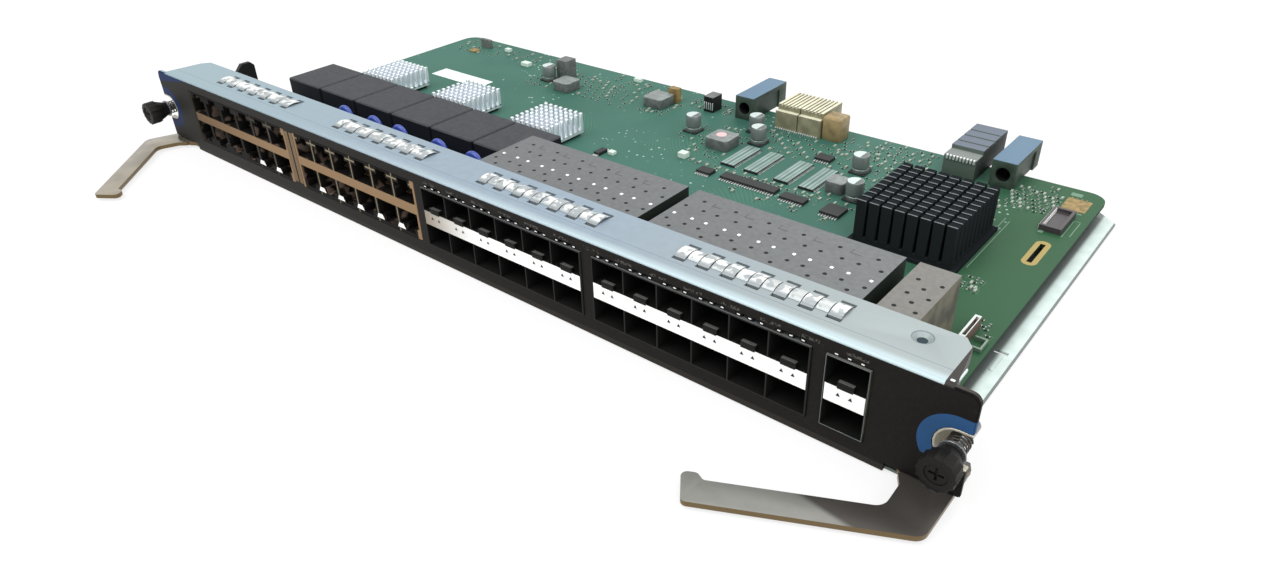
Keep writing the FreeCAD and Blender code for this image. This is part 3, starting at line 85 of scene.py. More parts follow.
# ---------------------------------------------------------------- shader expressions
class Signal:
    """One number that varies over a surface: a node's output socket with Python operators."""

    def __init__(self, bench: "NodeBench", socket: bpy.types.NodeSocket) -> None:
        """Keeps the socket and the node tree that it belongs to."""
        self.bench = bench
        self.socket = socket

    def _maths(self, operation: str, first: Any, second: Any = None, third: Any = None) -> "Signal":
        """Adds one Math node.

        Args:
            operation: The Math node's operation.
            first: First operand, a signal or a number.
            second: Second operand, where there is one.
            third: Third operand, where there is one.

        Returns:
            The result as a signal.
        """
        values = {i: v for i, v in enumerate((first, second, third)) if v is not None}
        return self.bench.signal("ShaderNodeMath", {"operation": operation}, values)

    def __add__(self, other: Any) -> "Signal":
        """Sum."""
        return self._maths("ADD", self, other)

    def __radd__(self, other: Any) -> "Signal":
        """Sum with the number first."""
        return self._maths("ADD", other, self)

    def __sub__(self, other: Any) -> "Signal":
        """Difference."""
        return self._maths("SUBTRACT", self, other)

    def __rsub__(self, other: Any) -> "Signal":
        """Difference with the number first."""
        return self._maths("SUBTRACT", other, self)

    def __mul__(self, other: Any) -> "Signal":
        """Product."""
        return self._maths("MULTIPLY", self, other)

    def __rmul__(self, other: Any) -> "Signal":
        """Product with the number first."""
        return self._maths("MULTIPLY", other, self)

    def __truediv__(self, other: Any) -> "Signal":
        """Quotient."""
        return self._maths("DIVIDE", self, other)

    def __abs__(self) -> "Signal":
        """Distance from nought."""
        return self._maths("ABSOLUTE", self)

    def below(self, limit: Any) -> "Signal":
        """1 where this is less than the limit, otherwise 0."""
        return self._maths("LESS_THAN", self, limit)

    def above(self, limit: Any) -> "Signal":
        """1 where this is more than the limit, otherwise 0."""
        return self._maths("GREATER_THAN", self, limit)

    def at_least(self, floor: Any) -> "Signal":
        """The larger of this and the floor."""
        return self._maths("MAXIMUM", self, floor)

    def at_most(self, roof: Any) -> "Signal":
        """The smaller of this and the roof."""
        return self._maths("MINIMUM", self, roof)

    def root(self) -> "Signal":
        """Square root."""
        return self._maths("SQRT", self)

    def wrapped(self, length: float) -> "Signal":
        """This folded into the span from 0 to length."""
        return self._maths("WRAP", self, length, 0.0)

    def eased(self, start: float, end: float) -> "Signal":
        """Runs smoothly from 0 at start to 1 at end."""
        return self.bench.signal(
            "ShaderNodeMapRange", {"interpolation_type": "SMOOTHSTEP"}, {0: self, 1: start, 2: end, 3: 0.0, 4: 1.0})


class NodeBench:
    """The node tree of one material."""

    def __init__(self, name: str) -> None:
        """Starts an empty material with that name."""
        self.material = bpy.data.materials.new(name)
        self.material.use_nodes = True
        self.tree = self.material.node_tree
        self.tree.nodes.clear()

    def node(self, kind: str, settings: dict[str, Any] | None = None, inputs: dict[Any, Any] | None = None) -> Any:
        """Adds any node.

        Args:
            kind: The node's type name.
            settings: Properties, set first.
            inputs: Values, sockets or signals for its input sockets, by name or number.

        Returns:
            The new node.
        """
        made = self.tree.nodes.new(kind)
        for key, value in (settings or {}).items():
            setattr(made, key, value)
        for key, value in (inputs or {}).items():
            socket = made.inputs[key]
            if isinstance(value, Signal):
                self.tree.links.new(value.socket, socket)
            elif isinstance(value, bpy.types.NodeSocket):
                self.tree.links.new(value, socket)
            else:
                socket.default_value = value
        return made

    def signal(self, kind: str, settings: dict[str, Any] | None = None, inputs: dict[Any, Any] | None = None,
               output: Any = 0) -> Signal:
        """Adds a node and returns one of its outputs as a signal."""
        return Signal(self, self.node(kind, settings, inputs).outputs[output])

    def place(self) -> tuple[bpy.types.NodeSocket, Signal, Signal, Signal]:
        """Object coordinates as a vector and as card millimetres.

        Returns:
            The vector socket, then the x, y and z signals from the panel's lower left front corner.
        """
        vector = self.node("ShaderNodeTexCoord").outputs["Object"]
        parts = self.node("ShaderNodeSeparateXYZ", None, {0: vector}).outputs
        x, y, z = (Signal(self, parts[index]) * 1000.0 for index in range(3))
        return vector, x + PANEL_MIDDLE, y + DEPTH_MIDDLE, z

    def grain(self, scale: float, detail: float = 2.0) -> Signal:
        """Noise in Object coordinates, as wide as 1/scale metres."""
        vector = self.node("ShaderNodeTexCoord").outputs["Object"]
        return self.signal("ShaderNodeTexNoise", None, {"Vector": vector, "Scale": scale, "Detail": detail})

    def mixed(self, factor: Any, first: Any, second: Any) -> bpy.types.NodeSocket:
        """A colour between two others."""
        mix = self.node("ShaderNodeMix", {"data_type": "RGBA"}, {0: factor, 6: first, 7: second})
        return mix.outputs[2]

    def bumped(self, height: Signal, depth: float) -> bpy.types.NodeSocket:
        """Normal of a surface whose height signal of 1 stands that many metres proud."""
        return self.node("ShaderNodeBump", None, {"Height": height, "Distance": depth, "Strength": 1.0}).outputs[0]

    def finished(self, sockets: dict[str, Any]) -> bpy.types.Material:
        """Closes the tree with a principled shader.

        Args:
            sockets: Values or links of the shader's sockets.

        Returns:
            The material.
        """
        shader = self.node("ShaderNodeBsdfPrincipled", None, sockets)
        self.node("ShaderNodeOutputMaterial", None, {"Surface": shader.outputs[0]})
        return self.material


# ---------------------------------------------------------------- finishes
@dataclass(frozen=True)
class Finish:
    """A plain finish.

    Attributes:
        name: Material name.
        colour: Display colour from 0 to 1.
        metal: Metallic share.
        rough: Roughness.
        gloss: Specular level.
        coat: Clear coat weight.
        mottle: How far the colour is darkened in patches.
        grain: Noise scale of the patches and of the fine bumps.
        dents: Height of the bumps in metres.
    """

    name: str
    colour: Triple
    metal: float = 0.0
    rough: float = 0.5
    gloss: float = 0.5
    coat: float = 0.0
    mottle: float = 0.0
    grain: float = 400.0
    dents: float = 0.0

    def material(self) -> bpy.types.Material:
        """The material, made once."""
        return bpy.data.materials.get(self.name) or self.made()

    def sockets(self) -> dict[str, Any]:
        """The shader values that are the same all over."""
        return {"Base Color": linear(self.colour), "Metallic": self.metal, "Roughness": self.rough,
                "Specular IOR Level": self.gloss, "Coat Weight": self.coat}

    def made(self) -> bpy.types.Material:
        """Builds the material."""
        bench = NodeBench(self.name)
        sockets = self.sockets()
        if self.mottle:
            patch = bench.grain(self.grain).eased(0.35, 0.65)
            dark = tuple(c * (1.0 - self.mottle) for c in self.colour)
            sockets["Base Color"] = bench.mixed(patch, linear(dark), linear(self.colour))
        if self.dents:
            sockets["Normal"] = bench.bumped(bench.grain(self.grain * 3), self.dents)
        return bench.finished(sockets)


@dataclass(frozen=True)
class PrintedFace(Finish):
    """Near-black printed sheet with a blue band about each screw and a blue streak at its upper left; the band is
    painted darker towards the left end as painted shade.
    """

    ink: Triple = (0.16, 0.30, 0.46)
    streak_and_shaded_ink: Triple = (0.11, 0.17, 0.32)
    pillar: Triple = (0.45, 0.37, 0.28)
    pillar_middle: float = 119.0
    hem: float = 2.6
    screw_inset: float = SCREW_INSET
    screw_height: float = SCREW_HEIGHT
    band: float = 10.9
    ring_foot: float = 13.5
    left_colour: Triple = (0.15, 0.147, 0.142)
    print_start: float = 212.5
    print_pitch: float = PORT_PITCH

    def made(self) -> bpy.types.Material:
        """Builds the material."""
        bench = NodeBench(self.name)
        _, x, _, z = bench.place()
        sockets = self.sockets()
        from_middle = abs(x - PANEL_MIDDLE)
        along = (PANEL_MIDDLE - self.screw_inset - from_middle).at_least(0.0)
        rise = z - self.screw_height
        distance = (along * along + rise * rise).root()
        ring = distance.below(self.band) * z.above(self.ring_foot).at_least(x.below(PANEL_MIDDLE))
        streak = z.above(38.4 - (30.0 - x) * 0.17) * x.below(30.0)
        fleck = (bench.grain(900.0).eased(0.45, 0.75) * 0.12).at_least(z.below(self.hem) * 0.6)
        ground = bench.mixed(1.0 - x.eased(20.0, 330.0), linear(self.colour), linear(self.left_colour))
        ground = bench.mixed(fleck, ground, linear((0.2, 0.185, 0.165)))
        column = (x - self.print_start).wrapped(self.print_pitch)
        caption = bench.grain(1300.0, 1.0).above(0.52) * column.below(8.6) * column.above(1.6)
        caption = caption * abs(z - 36.1).below(0.55) * x.above(self.print_start) * x.below(407.0)
        ground = bench.mixed(caption * 0.6, ground, linear((0.36, 0.35, 0.33)))
        between = abs(x - self.pillar_middle)
        pillars = between.above(0.6) * between.below(3.2) * z.above(8.6) * z.below(33.6)
        ground = bench.mixed(pillars, ground, linear(self.pillar))
        # Painted shade: the blue band runs from the darker streak blue at the left end to the plain ink blue further
        # right.
        shaded = bench.mixed(x.eased(0.0, 80.0), linear(self.streak_and_shaded_ink), linear(self.ink))
        printed = bench.mixed(ring, ground, shaded)
        sockets["Base Color"] = bench.mixed(streak, printed, linear(self.streak_and_shaded_ink))
        return bench.finished(sockets)


@dataclass(frozen=True)
class VentedSteel(Finish):
    """Cage steel with a round hole pattern that repeats in every column of the roof; the holes are real, their
    near-black colour is painted shade from inside the cage.

    Attributes:
        left: Left edge of the first column.
        holes: Places of the holes from each column's left edge, and behind the panel.
        hole_radius: Radius of a hole.
        roof: Height above which the holes show.
    """

    left: float = 212.5
    pitch: float = 14.2
    holes: tuple[tuple[float, float], ...] = ()
    hole_radius: float = 0.8
    roof: float = 33.3

    def made(self) -> bpy.types.Material:
        """Builds the material."""
        bench = NodeBench(self.name)
        _, x, y, z = bench.place()
        column = (x - self.left).wrapped(self.pitch)
        nearest: Signal | None = None
        for across, back in self.holes:
            aside, behind = column - across, y - back
            distance = aside * aside + behind * behind
            nearest = distance if nearest is None else nearest.at_most(distance)
        hole = nearest.root().below(self.hole_radius) * z.above(self.roof)
        sockets = self.sockets()
        patch = bench.grain(self.grain).eased(0.3, 0.7) * self.mottle
        steel = bench.mixed(patch, linear(self.colour), linear(tuple(c * 0.75 for c in self.colour)))
        # Painted shade: the holes are filled near-black and rough, as the dark inside of the cage seen through them.
        sockets["Base Color"] = bench.mixed(hole, steel, linear((0.03, 0.03, 0.03)))
        sockets["Metallic"] = self.metal * (1.0 - hole)
        sockets["Roughness"] = self.rough + hole * (0.9 - self.rough)
        return bench.finished(sockets)


@dataclass(frozen=True)
class ReflectionFadeSteel(Finish):
    """Steel with a painted reflection: its colour runs along x from an unreflected tone to a bright one."""

    unreflected_colour: Triple = (0.5, 0.46, 0.4)
    start: float = 212.0
    end: float = 250.0

    def made(self) -> bpy.types.Material:
        """Builds the material."""
        bench = NodeBench(self.name)
        _, x, _, _ = bench.place()
        sockets = self.sockets()
        sockets["Base Color"] = bench.mixed(
            x.eased(self.start, self.end), linear(self.unreflected_colour), linear(self.colour))
        return bench.finished(sockets)


@dataclass(frozen=True)
class BoardMask(Finish):
    """Green solder mask over copper: soft tone changes, faint tracks, small vias and a gilt ring round its slot."""

    deep: Triple = (0.18, 0.34, 0.29)
    right_tone: Triple = (0.175, 0.33, 0.22)
    track: Triple = (0.31, 0.53, 0.43)
    gilt: Triple = (0.64, 0.57, 0.35)
    slot_middle: tuple[float, float] = (410.5, 138.6)
    slot_half: float = 8.0
    gilt_width: float = 3.0

    def made(self) -> bpy.types.Material:
        """Builds the material."""
        bench = NodeBench(self.name)
        vector, x, y, _ = bench.place()
        sockets = self.sockets()
        tone = bench.grain(14.0, 3.0).eased(0.3, 0.7)
        ground = bench.mixed(tone * 0.5, linear(self.colour), linear(self.deep))
        ground = bench.mixed(x.eased(340.0, 400.0), ground, linear(self.right_tone))
        waver = bench.grain(30.0, 1.0) * 14.0
        lines = (x * 0.7 + y * 0.7 + waver).wrapped(1.6).below(0.45)
        field = bench.grain(22.0, 2.0).eased(0.52, 0.6) * x.below(380.0)
        tracks = bench.mixed(lines * field * 0.25, ground, linear(self.track))
        cells = bench.signal("ShaderNodeTexVoronoi", None, {"Vector": vector, "Scale": 260.0}, "Distance")
        via = cells.below(0.16) * bench.grain(35.0, 2.0).eased(0.5, 0.62) * x.below(395.0)
        dotted = bench.mixed(via * 0.75, tracks, linear((0.72, 0.80, 0.74)))
        aside = x - self.slot_middle[0]
        beyond = (abs(y - self.slot_middle[1]) - self.slot_half).at_least(0.0)
        ring = (aside * aside + beyond * beyond).root().below(self.gilt_width)
        sockets["Base Color"] = bench.mixed(ring, dotted, linear(self.gilt))
        return bench.finished(sockets)


@dataclass(frozen=True)
class FlangeSteel(Finish):
    """Folded sheet steel with a painted highlight at the front bend that grows to the right, one faint crease and
    painted shade past its right end.
    """

    left_tone: Triple = (0.565, 0.64, 0.67)
    pale: Triple = (0.71, 0.78, 0.80)
    right_tone: Triple = (0.575, 0.61, 0.61)
    crease: float = 6.2
    end: float = 426.6
    hole: tuple[float, float] = FLANGE_HOLE
    sink: float = 3.1

    def made(self) -> bpy.types.Material:
        """Builds the material."""
        bench = NodeBench(self.name)
        _, x, y, z = bench.place()
        sockets = self.sockets()
        streaks = bench.grain(260.0, 3.0).eased(0.3, 0.7) * 0.3
        steel = bench.mixed(streaks, linear(self.colour), linear(tuple(c * 0.9 for c in self.colour)))
        steel = bench.mixed(1.0 - x.eased(20.0, 240.0), steel, linear(self.left_tone))
        steel = bench.mixed(x.eased(280.0, 400.0), steel, linear(self.right_tone))
        # Painted highlight along the front bend, growing to the right.
        steel = bench.mixed((1.0 - y.eased(1.0, 4.6)) * x.eased(60.0, 400.0) * 0.85, steel, linear(self.pale))
        aside, behind = x - self.hole[0], y - self.hole[1]
        reach = (aside * aside + behind * behind).root()
        steel = bench.mixed(reach.below(self.sink + 0.25) * reach.above(self.sink - 0.15) * 0.7, steel,
                            linear((0.36, 0.42, 0.44)))
        line = abs(y - self.crease).below(0.14) * z.above(38.0)
        creased = bench.mixed(line * 0.55, steel, linear((0.36, 0.42, 0.48)))
        # Painted shade: faces past the flange's right end are dark.
        sockets["Base Color"] = bench.mixed(x.above(self.end), creased, linear((0.17, 0.155, 0.14)))
        return bench.finished(sockets)


@dataclass(frozen=True)
class ShieldSteel(Finish):
    """Jack shield: dull where the sockets shade it, copper along its middle, at its ends and on its T bars, the copper
    painted darker towards the left as painted shade.
    """

    left: float = 30.3
    pitch: float = PORT_PITCH
    columns: int = PORT_COLUMNS
    middle: float = 21.15
    half_band: float = 2.2
    lit: Triple = (0.54, 0.44, 0.33)
    painted_light_fade: Triple = (0.40, 0.32, 0.24)
    bar: Triple = (0.50, 0.46, 0.37)
    moss: Triple = (0.16, 0.15, 0.09)
    cap_height: float = 32.2

    def made(self) -> bpy.types.Material:
        """Builds the material."""
        bench = NodeBench(self.name)
        _, x, _, z = bench.place()
        along = x - self.left
        band = abs(z - self.middle).below(self.half_band)
        ends = along.below(1.5).at_least(along.above(self.pitch * self.columns - 2.4))
        aside = abs((along + self.pitch / 2).wrapped(self.pitch) - self.pitch / 2)
        bars = aside.below(0.32).at_least(aside.below(3.3) * abs(z - self.cap_height).below(0.4))
        # Painted shade: the copper runs from a darker tone at the left to the lit tone further right.
        copper = bench.mixed(x.eased(15.0, 110.0), linear(self.painted_light_fade), linear(self.lit))
        copper = bench.mixed(along.below(1.5) * x.below(60.0), copper, linear(self.moss))
        bar = bench.mixed(x.eased(60.0, 150.0), linear(self.colour), linear(self.bar))
        sockets = self.sockets()
        base = bench.mixed(bars, linear(self.colour), bar)
        sockets["Base Color"] = bench.mixed(band.at_least(ends), base, copper)
        return bench.finished(sockets)


@dataclass(frozen=True)
class GlintFleckPlastic(Finish):
    """Dark plastic with paler flecks painted on as glints: painted highlights."""

    fleck: Triple = (0.42, 0.36, 0.32)
    share: float = 0.57

    def made(self) -> bpy.types.Material:
        """Builds the material."""
        bench = NodeBench(self.name)
        # Painted highlights: noise patches in the fleck colour stand in for glints inside the jacks.
        patch = bench.grain(self.grain, 1.0).eased(self.share, self.share + 0.1)
        sockets = self.sockets()
        sockets["Base Color"] = bench.mixed(patch, linear(self.colour), linear(self.fleck))
        return bench.finished(sockets)


@dataclass(frozen=True)
class StripSteel(Finish):
    """Bright spring strip with painted light: a white painted highlight on its crown, painted shade at its two feet, on
    every other finger at the right and in noise patches.
    """

    shade: Triple = (0.46, 0.50, 0.52)
    crown: float = 13.4
    pitch: float = 9.4

    def made(self) -> bpy.types.Material:
        """Builds the material."""
        bench = NodeBench(self.name)
        _, x, y, _ = bench.place()
        foot = abs(y - self.crown).eased(1.5, 3.6) * 0.85
        shaded_fingers = x.above(364.0) * (x - 364.0).wrapped(self.pitch).below(4.4) * 0.45
        scarce = 0.43 + abs(x - 210.0).eased(20.0, 130.0) * 0.06
        shade_patches = (bench.grain(330.0, 1.0) - scarce).eased(0.0, 0.08) * 0.7
        sockets = self.sockets()
        # Painted shade at the feet, on alternate fingers and in patches; the crown keeps the white painted highlight.
        sockets["Base Color"] = bench.mixed(
            foot.at_least(shaded_fingers).at_least(shade_patches), linear(self.colour), linear(self.shade))
        return bench.finished(sockets)


@dataclass(frozen=True)
class TraySteel(Finish):
    """Zinc sheet with a painted shadow under the board's edge and a dark line along its own outer edge."""

    board_edge: float = 419.7
    edge: float = 426.4
    dark: Triple = (0.20, 0.22, 0.21)

    def made(self) -> bpy.types.Material:
        """Builds the material."""
        bench = NodeBench(self.name)
        _, x, _, _ = bench.place()
        patch = bench.grain(150.0).eased(0.35, 0.65)
        steel = bench.mixed(patch, linear(tuple(c * 0.95 for c in self.colour)), linear(self.colour))
        # Painted shadow next to the board's edge, and a dark line at the sheet's outer edge.
        shade = (1.0 - x.eased(self.board_edge + 0.2, self.board_edge + 1.8)).at_least(x.above(self.edge - 0.7))
        sockets = self.sockets()
        sockets["Base Color"] = bench.mixed(shade * 0.8, steel, linear(self.dark))
        return bench.finished(sockets)


@dataclass(frozen=True)
class LeverSteel(Finish):
    """Plated lever with a painted reflection: bright along its handle and darker from a straight line near the bend to
    its pivot.
    """

    unreflected: Triple = (0.31, 0.295, 0.28)
    bend: float = -27.0

    def made(self) -> bpy.types.Material:
        """Builds the material."""
        bench = NodeBench(self.name)
        _, x, y, _ = bench.place()
        edge = y + (x - 412.0) * 0.12
        patch = bench.grain(self.grain).eased(0.35, 0.65) * 0.2
        lit = bench.mixed(patch, linear(self.colour), linear(tuple(c * 0.85 for c in self.colour)))
        sockets = self.sockets()
        # Painted reflection: the lever is bright on one side of a straight line near the bend and darker past it.
        sockets["Base Color"] = bench.mixed(edge.eased(self.bend - 1.2, self.bend + 1.2), lit, linear(self.unreflected))
        return bench.finished(sockets)


@dataclass(frozen=True)
class GlareTop(Finish):
    """Top of a memory chip under bright light: painted glare in pale bands along its length, with painted shade in the
    dark lines between.
    """

    middles: tuple[float, ...] = (268.0, 281.0, 297.5, 310.5)
    line: Triple = (0.30, 0.40, 0.37)

    def made(self) -> bpy.types.Material:
        """Builds the material."""
        bench = NodeBench(self.name)
        _, x, _, _ = bench.place()
        nearest: Signal | None = None
        for middle in self.middles:
            aside = abs(x - middle)
            nearest = aside if nearest is None else nearest.at_most(aside)
        dark = nearest.below(0.5).at_least(abs(nearest - 2.1).below(0.22)).at_least(nearest.above(3.45))
        cloud = bench.grain(90.0, 2.0).eased(0.35, 0.65) * 0.35
        sockets = self.sockets()
        sockets["Base Color"] = bench.mixed(dark.at_least(cloud), linear(self.colour), linear(self.line))
        return bench.finished(sockets)


FLANGE = FlangeSteel("flange_steel", (0.56, 0.62, 0.67), metal=0.3, rough=0.5, gloss=0.35)
FACE = PrintedFace("printed_face", (0.08, 0.073, 0.062), rough=0.6, gloss=0.12)
ZINC = TraySteel("zinc_sheet", (0.76, 0.82, 0.80), metal=0.3, rough=0.45)
STRIP = StripSteel("strip_steel", (0.91, 0.92, 0.91), metal=0.3, rough=0.3)
JACK = GlintFleckPlastic("jack_plastic", (0.055, 0.048, 0.042), rough=0.5, gloss=0.3, grain=170.0)
WIRE = Finish("contact_wire", (0.72, 0.60, 0.50), metal=0.9, rough=0.3)
# Painted highlight: white glint finish for small pieces and faces.
GLINT = Finish("painted_glint", (0.97, 0.97, 0.96), metal=0.1, rough=0.35)
BLACK = Finish("black_plastic", (0.08, 0.08, 0.085), rough=0.5, gloss=0.3)
CHIP = Finish("chip_resin", (0.125, 0.135, 0.135), rough=0.55, gloss=0.35)
MOULDED = Finish("transformer_resin", (0.235, 0.24, 0.255), rough=0.6, gloss=0.25, mottle=0.12, grain=500.0)
SHADE = Finish("transformer_shaded_side", (0.085, 0.09, 0.12), rough=0.6, gloss=0.2)
CERAMIC = Finish("disc_ceramic", (0.17, 0.27, 0.62), rough=0.35, coat=0.2)
SILVER = Finish("sink_silver", (0.93, 0.95, 0.97), metal=0.55, rough=0.28)
ANODISED = Finish("sink_anodised", (0.135, 0.148, 0.155), rough=0.8, gloss=0.0)
SINK_EDGE_HIGHLIGHT = Finish("sink_edge_highlight", (0.48, 0.50, 0.51), rough=0.6, gloss=0.2)
GUIDE = Finish("guide_grey", (0.39, 0.49, 0.57), rough=0.6, gloss=0.2)
GUIDE_DARK = Finish("guide_dark", (0.24, 0.30, 0.26), rough=0.55, gloss=0.3, mottle=0.2, grain=120.0)
IVORY = Finish("receptacle_ivory", (0.86, 0.85, 0.75), rough=0.5, gloss=0.3, mottle=0.06, grain=180.0)
AMBER = Finish("tap_amber", (0.60, 0.51, 0.32), rough=0.4, mottle=0.2, grain=200.0)
HEADER = Finish("header_body", (0.52, 0.54, 0.53), rough=0.8, gloss=0.0)
HEADER_DARK = Finish("header_dark", (0.22, 0.24, 0.23), rough=0.6, gloss=0.2)
TIN = Finish("tin", (0.86, 0.87, 0.86), metal=0.6, rough=0.3)
CAN = Finish("can_aluminium", (0.44, 0.48, 0.47), metal=0.4, rough=0.35)
FERRITE = Finish("ferrite", (0.42, 0.44, 0.43), metal=0.2, rough=0.5, mottle=0.15)
SILK = Finish("board_ink", (0.80, 0.86, 0.82), rough=0.7, gloss=0.2)
PAPER = Finish("label_paper", (0.90, 0.94, 0.92), rough=0.7, gloss=0.2, mottle=0.06, grain=60.0)
GOLD = Finish("gold_pad", (0.60, 0.51, 0.32), rough=0.5, gloss=0.2, mottle=0.2, grain=420.0)
TAN = Finish("tan_ceramic", (0.58, 0.62, 0.55), rough=0.5)
LEFT_LEVER = Finish("lever_bright", (0.66, 0.63, 0.57), metal=0.8, rough=0.26, mottle=0.12, grain=60.0)
RIGHT_LEVER = LeverSteel("lever_dull", (0.54, 0.54, 0.52), metal=0.5, rough=0.42, gloss=0.3, grain=160.0)
STEEL = Finish("bright_steel", (0.52, 0.53, 0.54), metal=0.8, rough=0.25)
KNOB = Finish("knob_plastic", (0.065, 0.06, 0.052), rough=0.55, gloss=0.2)
LENS = Finish("clear_lens", (0.95, 0.95, 0.94), rough=0.2, gloss=0.5)
BOARD = BoardMask("board_mask", (0.24, 0.41, 0.36), rough=0.55, gloss=0.15)
BOARD_EDGE = Finish("board_edge", (0.12, 0.17, 0.13), rough=0.7, gloss=0.2)
CAVITY_SHADE = Finish("cavity_shade", (0.045, 0.043, 0.04), rough=0.7, gloss=0.2)
SHADED_STEEL = Finish("cage_side", (0.13, 0.15, 0.135), rough=0.6, gloss=0.2)
UPLINK_SIDE = Finish("uplink_side", (0.36, 0.345, 0.275), metal=0.1, rough=0.6, mottle=0.45, grain=110.0)
CAGE_EDGE = Finish("cage_edge", (0.095, 0.092, 0.085), rough=0.6, gloss=0.2)
NUB_TOP_HIGHLIGHT = Finish("nub_top_highlight", (0.36, 0.36, 0.35), rough=0.5)
ROOF_LINE = Finish("roof_line", (0.36, 0.355, 0.35), metal=0.2, rough=0.5)
# Painted reflection: the spacer band's front is near-white as a reflection of the table.
SPACER_REFLECTION = Finish("spacer_painted_reflection", (0.97, 0.97, 0.96), metal=0.05, rough=0.45)
GLARE = GlareTop("memory_top", (0.56, 0.64, 0.62), rough=0.5, gloss=0.3)
CAN_TOP = Finish("can_top", (0.78, 0.83, 0.82), metal=0.3, rough=0.35)
IVORY_SHADE = Finish("receptacle_shade", (0.55, 0.54, 0.43), rough=0.5, mottle=0.15, grain=180.0)
AMBER_SHADE = Finish("tap_shade", (0.62, 0.54, 0.38), rough=0.45, mottle=0.2, grain=200.0)
HEADER_FRONT = Finish("header_front", (0.30, 0.35, 0.32), rough=0.5)
HEADER_REAR = Finish("header_rear", (0.45, 0.48, 0.52), rough=0.8, gloss=0.0)
HOLE = Finish("hole_shadow", (0.20, 0.25, 0.27), rough=0.7, gloss=0.1)
SOLDER = Finish("solder", (0.60, 0.66, 0.62), metal=0.2, rough=0.5, gloss=0.3)
FAINT = Finish("faint_ink", (0.44, 0.55, 0.47), rough=0.7, gloss=0.2)
CUP = Finish("cup_steel", (0.74, 0.72, 0.66), metal=0.4, rough=0.35)
SPRING_WIRE = Finish("spring_wire", (0.30, 0.29, 0.27), metal=0.8, rough=0.35)
FERRITE_TOP = Finish("ferrite_top", (0.52, 0.55, 0.54), metal=0.1, rough=0.5, mottle=0.12)
BRASS_EDGE = Finish("lever_edge", (0.42, 0.35, 0.23), metal=0.6, rough=0.35)
PART_DARK = Finish("part_dark", (0.22, 0.20, 0.21), rough=0.5)
HEADER_SIDE = Finish("test_side", (0.40, 0.32, 0.29), rough=0.5)
CLIP = Finish("clip_grey", (0.42, 0.50, 0.44), metal=0.3, rough=0.4)
BLUSH = Finish("marker_disc", (0.90, 0.72, 0.72), rough=0.5)
CAGE_HOLES = ((7.4, 55.5), (3.45, 49.1), (11.5, 49.1), (3.5, 37.1), (11.7, 37.1), (7.8, 32.7))
UPLINK_HOLES = ((4.0, 52.0), (12.0, 52.0), (7.9, 47.3), (4.5, 42.6), (11.6, 42.5), (8.0, 38.1), (4.4, 33.5),
                (11.4, 33.4))


# ---------------------------------------------------------------- modelling tools
class Axis(Enum):
    """A direction along which a piece is laid out."""

    X = 0
    Y = 1
    Z = 2


def clear_selection() -> None:
    """Leaves nothing selected."""
    if bpy.context.object and bpy.context.object.mode != "OBJECT":
        bpy.ops.object.mode_set(mode="OBJECT")
    bpy.ops.object.select_all(action="DESELECT")


def pick(obj: bpy.types.Object) -> None:
    """Selects one object and makes it active."""
    clear_selection()
    obj.select_set(True)
    bpy.context.view_layer.objects.active = obj


def settle(obj: bpy.types.Object) -> bpy.types.Object:
    """Moves an object's place, turn and size into its mesh."""
    pick(obj)
    bpy.ops.object.transform_apply(location=True, rotation=True, scale=True)
    return obj


def select_faces(obj: bpy.types.Object, wanted: FaceTest) -> None:
    """Selects the faces that pass a test and enters edit mode in face mode."""
    pick(obj)
    mesh = obj.data
    for vertex in mesh.vertices:
        vertex.select = False
    for edge in mesh.edges:
        edge.select = False
    for face in mesh.polygons:
        face.select = wanted(face)
    bpy.ops.object.mode_set(mode="EDIT")
    bpy.ops.mesh.select_mode(type="FACE")


def select_all_faces(obj: bpy.types.Object) -> None:
    """Enters edit mode with everything selected."""
    select_faces(obj, lambda face: True)
    bpy.ops.mesh.select_all(action="SELECT")


def leave_edit() -> None:
    """Goes back to object mode."""
    bpy.ops.object.mode_set(mode="OBJECT")


def with_modifier(obj: bpy.types.Object, kind: str, settings: dict[str, Any]) -> bpy.types.Object:
    """Adds a modifier, sets it and applies it."""
    pick(obj)
    modifier = obj.modifiers.new(kind.lower(), kind)
    for key, value in settings.items():
        setattr(modifier, key, value)
    bpy.ops.object.modifier_apply(modifier=modifier.name)
    return obj


def bevelled(obj: bpy.types.Object, width: float, segments: int = 1, angle: float = 35.0) -> bpy.types.Object:
    """Rounds an object's sharp edges, width in millimetres, and smooths what is nearly flat."""
    with_modifier(obj, "BEVEL", {"width": width * MM, "segments": segments, "limit_method": "ANGLE",
                                 "angle_limit": math.radians(angle), "use_clamp_overlap": True,
                                 "harden_normals": False})
    return smoothed(obj)


def smoothed(obj: bpy.types.Object, angle: float = 40.0) -> bpy.types.Object:
    """Shades an object smooth except across its sharp edges."""
    pick(obj)
    bpy.ops.object.shade_smooth_by_angle(angle=math.radians(angle))
    return obj


def slab(name: str, low: Triple, high: Triple, edge: float = 0.0, segments: int = 1) -> bpy.types.Object:
    """Block between two corners in card millimetres, with its edges rounded."""
    start, end = spot(*low), spot(*high)
    clear_selection()
    bpy.ops.mesh.primitive_cube_add(size=1.0, location=(start + end) / 2, scale=end - start)
    obj = bpy.context.active_object
    obj.name = name
    settle(obj)
    return bevelled(obj, edge, segments) if edge else obj


